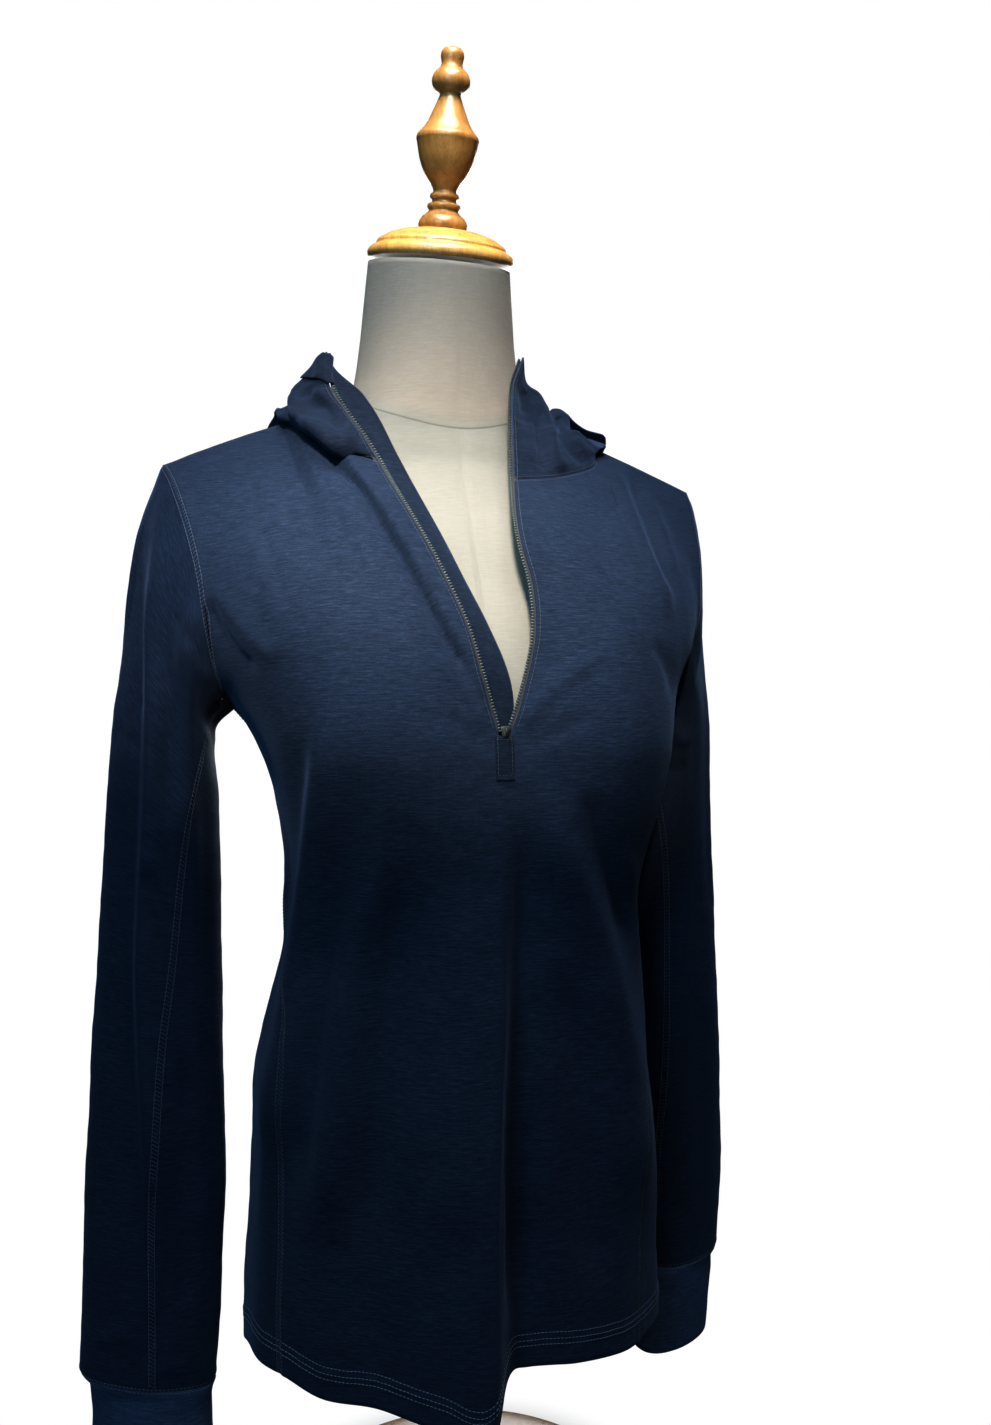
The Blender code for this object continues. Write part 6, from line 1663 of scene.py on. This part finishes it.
foot_y = float(surface_y(np.array([0.05]), np.array([ZIP_BASE]))[0])
sx, sy, sz = 0.06, foot_y - 0.10, ZIP_BASE + 0.36
parts = [rounded_plate((sx, sy + 0.10, sz), 0.27, 0.20, 0.66, 0.06),
         rounded_plate((sx, sy, sz), 0.13, 0.10, 0.46, 0.20),
         rounded_plate((sx, sy - 0.10, sz), 0.26, 0.19, 0.62, 0.07)]
# the low bridge that a pull would hang from
bridge = []
for k, f in enumerate(np.linspace(0, 1, 9)):
    c = np.array([sx, sy - 0.135 - 0.075 * math.sin(math.pi * f), sz - 0.20 + 0.40 * f])
    bridge.append([c + np.array([dx, dy, 0]) for dx, dy in ((-0.06, 0.02), (0.06, 0.02), (0.045, -0.025), (-0.045, -0.025))])
bridge = np.array(bridge).reshape(-1, 3)
parts.append((bridge, [grid_quads(9, 4, closed=True), np.arange(4)[::-1][None], (32 + np.arange(4))[None]]))
slider = joined("zip_slider_body", parts, slider_metal)
bev = slider.modifiers.new("edges", "BEVEL")
bev.width, bev.segments, bev.limit_method = 0.00008, 1, "ANGLE"

# ------------------------------------------------------------------ the form
zs = np.concatenate([np.linspace(-50, -0.4, 62), np.linspace(0.0, 9.4, 95), np.linspace(9.8, 14.6, 16)])
FORM_N = 120
ang = np.arange(FORM_N) * 2 * np.pi / FORM_N
rows_ = []
for z in zs:
    yc, half, fr, bk, kk = spline(FORM, z)[0]
    s_, c_ = np.sin(ang), np.cos(ang)
    depth = np.where(c_ > 0, fr, bk)
    r = ((np.abs(s_) / half) ** kk + (np.abs(c_) / depth) ** kk) ** (-1 / kk)
    line = np.stack([r * s_, yc - r * c_, np.full(FORM_N, z)], -1)
    tilt = float(ease((z - 6.0) / 8.6)) * math.tan(NECK_TILT)
    line[:, 2] += (line[:, 1] - yc) * tilt
    rows_.append(line)
G = np.array(rows_)
seam_z = 2.8 + 2.8 * (1 - np.cos(ang))
off = G[:, :, 2] - seam_z[None, :]
run = np.concatenate([np.zeros((len(zs), 1)), np.cumsum(np.linalg.norm(np.diff(G, axis=1), axis=-1), axis=1)], axis=1)
N = normals_of(G.reshape(-1, 3), grid_quads(len(zs), FORM_N, closed=True)).reshape(G.shape)
if np.sum(N[80, 0] * [0, -1, 0]) < 0:
    N = -N
centre_d = np.abs((ang + np.pi) % (2 * np.pi) - np.pi)[None, :] * 6.0
low_part = off < 0
h = 0.014 * np.exp(-((off - 0.10) / 0.10) ** 2) - 0.026 * np.exp(-(off / 0.05) ** 2)
h -= np.where(low_part, 0.02 * np.exp(-(centre_d / 0.10) ** 2), 0)
h += 0.006 * np.sin(2.3 * G[:, :, 0] + 1.1 * G[:, :, 2]) * np.sin(1.7 * G[:, :, 2] + 0.9 * G[:, :, 1])
G = G + N * h[..., None] - N * 0.02
knit_at = np.stack([run, np.repeat(zs[:, None], FORM_N, 1), off], -1)
verts = G.reshape(-1, 3)
top_c, foot_c = G[-1].mean(0), G[0].mean(0)
rings_ = [foot_c + (G[0] - foot_c) * k for k in (0.02, 0.5, 0.93)]
verts = np.concatenate([np.concatenate(rings_) + np.array([0, 0, -0.0]), verts, top_c + (G[-1] - top_c) * 0.6])
ka = np.concatenate([np.tile(knit_at[0], (3, 1)) * [1, 1, 1], knit_at.reshape(-1, 3), knit_at[-1]])
total = len(zs) + 4
quads = grid_quads(total, FORM_N, closed=True)
caps = [np.arange(FORM_N)[::-1][None], ((total - 1) * FORM_N + np.arange(FORM_N))[None]]
form = mesh_object("form_torso_linen", verts, [quads] + caps, linen, knit=ka)


def tilted(p):
    c, s_ = math.cos(NECK_TILT), math.sin(NECK_TILT)
    return np.stack([p[:, 0] + CAP_AT[0], p[:, 1] * c - p[:, 2] * s_ + CAP_AT[1], p[:, 1] * s_ + p[:, 2] * c + CAP_AT[2]], -1)


def lathe(name, profile, mat, n=96, sub=5, tilt=True, straight=False):
    profile = np.asarray(profile, float)
    run_ = run_length(profile)
    keys = np.column_stack([run_, profile])
    at = []
    for k in range(len(run_) - 1):
        at += list(np.linspace(run_[k], run_[k + 1], sub, endpoint=False))
    at = np.array(at + [run_[-1]])
    prof = np.stack([np.interp(at, run_, profile[:, k]) for k in (0, 1)], -1) if straight else spline(keys, at)
    prof[:, 0] = np.maximum(prof[:, 0], 0.001)
    a_ = np.arange(n) * 2 * np.pi / n
    pts = np.stack([prof[:, :1] * np.cos(a_), prof[:, :1] * np.sin(a_), prof[:, 1:2] + 0 * a_], -1).reshape(-1, 3)
    pts = tilted(pts) if tilt else pts
    caps_ = [np.arange(n)[::-1][None], ((len(prof) - 1) * n + np.arange(n))[None]]
    return mesh_object(name, pts, [grid_quads(len(prof), n, closed=True)] + caps_, mat)


cap = lathe("neck_cap_turned", CAP, wood)
finial = lathe("finial_turned", FINIAL, wood_dark, n=72, sub=4)
pole = lathe("pole_tube", ((0.0, POLE_FOOT), (1.19, POLE_FOOT), (1.23, POLE_FOOT + 0.02), (1.25, POLE_FOOT + 0.06),
                           (1.25, POLE_TOP - 0.06), (1.23, POLE_TOP - 0.02), (1.19, POLE_TOP), (0.0, POLE_TOP)),
             pole_metal, n=64, sub=2, tilt=False, straight=True)
base = lathe("base_disc", BASE, base_wood, n=120, sub=2, tilt=False, straight=True)

# ------------------------------------------------------------------ camera, light, floor
R = AXES
cam_data = bpy.data.cameras.new("camera")
cam_data.sensor_fit = "HORIZONTAL"
cam_data.sensor_width = 36.0
cam_data.lens = 36.0 * FOCAL / 991.0
cam_data.clip_start, cam_data.clip_end = 0.05, 50.0
cam = bpy.data.objects.new("camera", cam_data)
bpy.context.scene.collection.objects.link(cam)
eye = (EYE + np.array([0, 0, SHOULDER_Z])) * CM
cam.matrix_world = Matrix([[R[0][k], -R[1][k], -R[2][k], eye[k]] for k in range(3)] + [[0, 0, 0, 1]])
bpy.context.scene.camera = cam


def area(name, at, look, size, power, colour=(1, 1, 1), spread=180.0):
    d = bpy.data.lights.new(name, "AREA")
    d.shape = "RECTANGLE"
    d.size, d.size_y = size
    d.energy = power
    d.color = colour
    d.spread = spread * DEG
    o = bpy.data.objects.new(name, d)
    bpy.context.scene.collection.objects.link(o)
    o.location = at
    o.rotation_mode = "QUATERNION"
    o.rotation_quaternion = (Vector(look) - Vector(at)).to_track_quat("-Z", "Y")
    o.visible_camera = False
    return o


area("softbox_above", (-0.06, -0.42, 1.80), (0.00, -0.10, 0.70), (0.8, 0.5), 27.0, (0.94, 0.92, 0.88))
area("softbox_front", (-0.06, -0.62, 1.30), (-0.02, -0.02, 0.70), (0.5, 0.3), 1.0, (1.0, 0.88, 0.74))
area("softbox_side", (-0.70, -0.98, 1.05), (0.02, -0.04, 0.40), (0.3, 0.6), 8.6, (0.34, 0.76, 1.0))
area("fill_back", (0.55, 1.35, 0.95), (0.0, 0.1, 0.5), (1.0, 1.0), 26.0)
# a small grid softbox keeps the neck, the cap and the finial bright
area("softbox_head", (-0.10, -0.50, 1.42), (0.0, 0.02, 1.00), (0.25, 0.20), 0.62, (1.0, 0.88, 0.74), 44.0)
# a soft round light on the chest, as from a window high in front
spot_data = bpy.data.lights.new("chest_light", "SPOT")
spot_data.energy = 300.0
spot_data.color = (1.0, 0.83, 0.66)
spot_data.spot_size = 15.4 * DEG
spot_data.spot_blend = 0.18
spot_data.shadow_soft_size = 0.08
spot = bpy.data.objects.new("chest_light", spot_data)
bpy.context.scene.collection.objects.link(spot)
spot.location = (-0.35, -1.15, 1.25)
spot.scale = (1.0, 0.74, 1.0)
spot.rotation_mode = "QUATERNION"
spot.rotation_quaternion = (Vector((-0.046, -0.093, 0.699)) - Vector(spot.location)).to_track_quat("-Z", "Y")

floor_mat = bpy.data.materials.new("floor")
floor_mat.use_nodes = True
fn_, fl_ = floor_mat.node_tree.nodes, floor_mat.node_tree.links
fb = fn_["Principled BSDF"]
fb.inputs["Base Color"].default_value = (0.62, 0.62, 0.62, 1)
fb.inputs["Roughness"].default_value = 0.9
# away from the stand the floor runs into the white background
where = fn_.new("ShaderNodeTexCoord")
length = fn_.new("ShaderNodeVectorMath")
length.operation = "LENGTH"
fl_.new(where.outputs["Object"], length.inputs[0])
far = fn_.new("ShaderNodeMapRange")
far.interpolation_type = "SMOOTHSTEP"
far.inputs["From Min"].default_value = 0.12
far.inputs["From Max"].default_value = 0.185
fl_.new(length.outputs["Value"], far.inputs["Value"])
seen_ = fn_.new("ShaderNodeLightPath")
both = fn_.new("ShaderNodeMath")
both.operation = "MULTIPLY"
fl_.new(far.outputs[0], both.inputs[0])
fl_.new(seen_.outputs["Is Camera Ray"], both.inputs[1])
white = fn_.new("ShaderNodeEmission")
white.inputs[0].default_value = (1, 1, 1, 1)
# little of its light comes back up onto the cloth
tone = fn_.new("ShaderNodeMix")
tone.data_type = "RGBA"
fl_.new(seen_.outputs["Is Camera Ray"], tone.inputs[0])
tone.inputs[6].default_value = (0.16, 0.16, 0.165, 1)
tone.inputs[7].default_value = (0.80, 0.80, 0.80, 1)
fl_.new(tone.outputs[2], fb.inputs["Base Color"])
blend_ = fn_.new("ShaderNodeMixShader")
fl_.new(both.outputs[0], blend_.inputs[0])
fl_.new(fb.outputs[0], blend_.inputs[1])
fl_.new(white.outputs[0], blend_.inputs[2])
fl_.new(blend_.outputs[0], fn_["Material Output"].inputs[0])
fl_me = bpy.data.meshes.new("floor")
fl_me.from_pydata([(-9, -9, 0), (9, -9, 0), (9, 9, 0), (-9, 9, 0)], [], [(0, 1, 2, 3)])
fl_me.materials.append(floor_mat)
floor = bpy.data.objects.new("floor", fl_me)
bpy.context.scene.collection.objects.link(floor)

world = bpy.data.worlds.new("studio")
bpy.context.scene.world = world
world.use_nodes = True
wn, wl = world.node_tree.nodes, world.node_tree.links
wn["Background"].inputs[0].default_value = (0.22, 0.74, 1.0, 1)
wn["Background"].inputs[1].default_value = 0.030
seen = wn.new("ShaderNodeBackground")
seen.inputs[0].default_value = (1, 1, 1, 1)
seen.inputs[1].default_value = 1.0
path = wn.new("ShaderNodeLightPath")
pick = wn.new("ShaderNodeMixShader")
wl.new(path.outputs["Is Camera Ray"], pick.inputs[0])
wl.new(wn["Background"].outputs[0], pick.inputs[1])
wl.new(seen.outputs[0], pick.inputs[2])
wl.new(pick.outputs[0], wn["World Output"].inputs[0])
bpy.context.scene.view_settings.view_transform = "Standard"
bpy.context.scene.view_settings.gamma = 0.78

# ------------------------------------------------------------------ attach the pieces and hide the CAD parts they replace
for key, o in pieces.items():
    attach(o, "root")
for o in (body_thread, arm_thread, sleeve_thread, hem_thread_rows, hood_thread):
    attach(o, "root")
for o, slot_, nodes_ in (
        (zips[-1], "zip_chain", ("zip_chain_right",)), (zips[1], "zip_chain", ("zip_chain_left",)),
        (teeth_obj, "zip_chain", ()), (facing, "navy_facing", ("zip_facing",)), (garage, "navy_facing", ()),
        (tab, "navy_facing", ("zip_end_tab",)), (tab_thread, "navy_facing", ()),
        (slider, "zip_slider_metal", ("zip_slider",)), (form, "linen", ("form_torso",)),
        (cap, "turned_wood", ("form_cap",)), (finial, "turned_wood", ("form_finial",)),
        (pole, "pole_metal", ("form_pole",)), (base, "base_wood", ("form_base",))):
    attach(o, "root")
    if nodes_:
        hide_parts(*nodes_)
stands = {"front": "front_body", "back": "back_body", "side_right": "side_panel_right", "side_left": "side_panel_left",
          "sleeve_right": "sleeve_right", "sleeve_left": "sleeve_left", "cuff_right": "cuff_right", "cuff_left": "cuff_left",
          "hood_right": "hood_right", "hood_left": "hood_left"}
for key, node in stands.items():
    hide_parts(node)

# each cut panel: the rectangle it is cut from, and the cut's own area (metres); tubes are stated all round
SHEETS = (
    # piece         panel         width  length  area     held      rests on          pieces sewn to it
    ("front", front, 0.46, 0.62, 0.190, "draped", (form,), (body_thread, hem_thread_rows, zips[-1], zips[1], teeth_obj, tab, tab_thread)),
    ("back", back, 0.44, 0.62, 0.170, "draped", (form,), ()),
    ("side_right", sides[-1], 0.13, 0.42, 0.040, "draped", (form,), ()),
    ("side_left", sides[1], 0.13, 0.42, 0.043, "draped", (form,), ()),
    ("sleeve_right", sleeves[-1], 0.40, 0.60, 0.113, "hung", ("front", "back"), (sleeve_thread, arm_thread)),
    ("sleeve_left", sleeves[1], 0.40, 0.60, 0.099, "hung", ("front", "back"), ()),
    ("cuff_right", cuffs[-1], 0.17, 0.065, 0.0109, "hung", ("sleeve_right",), ()),
    ("cuff_left", cuffs[1], 0.17, 0.065, 0.0095, "hung", ("sleeve_left",), ()),
    ("hood_right", hoods[-1], 0.25, 0.26, 0.030, "draped", ("front", "back"), (hood_thread, garage)),
    ("hood_left", hoods[1], 0.25, 0.26, 0.037, "draped", ("front", "back"), ()),
)
for key, panel, wide, long_, cut, held, on_, sewn in SHEETS:
    print("sheet", key, round(panel.area, 4), "cut", cut)

print("triangles", TRIANGLES, sum(TRIANGLES.values()))
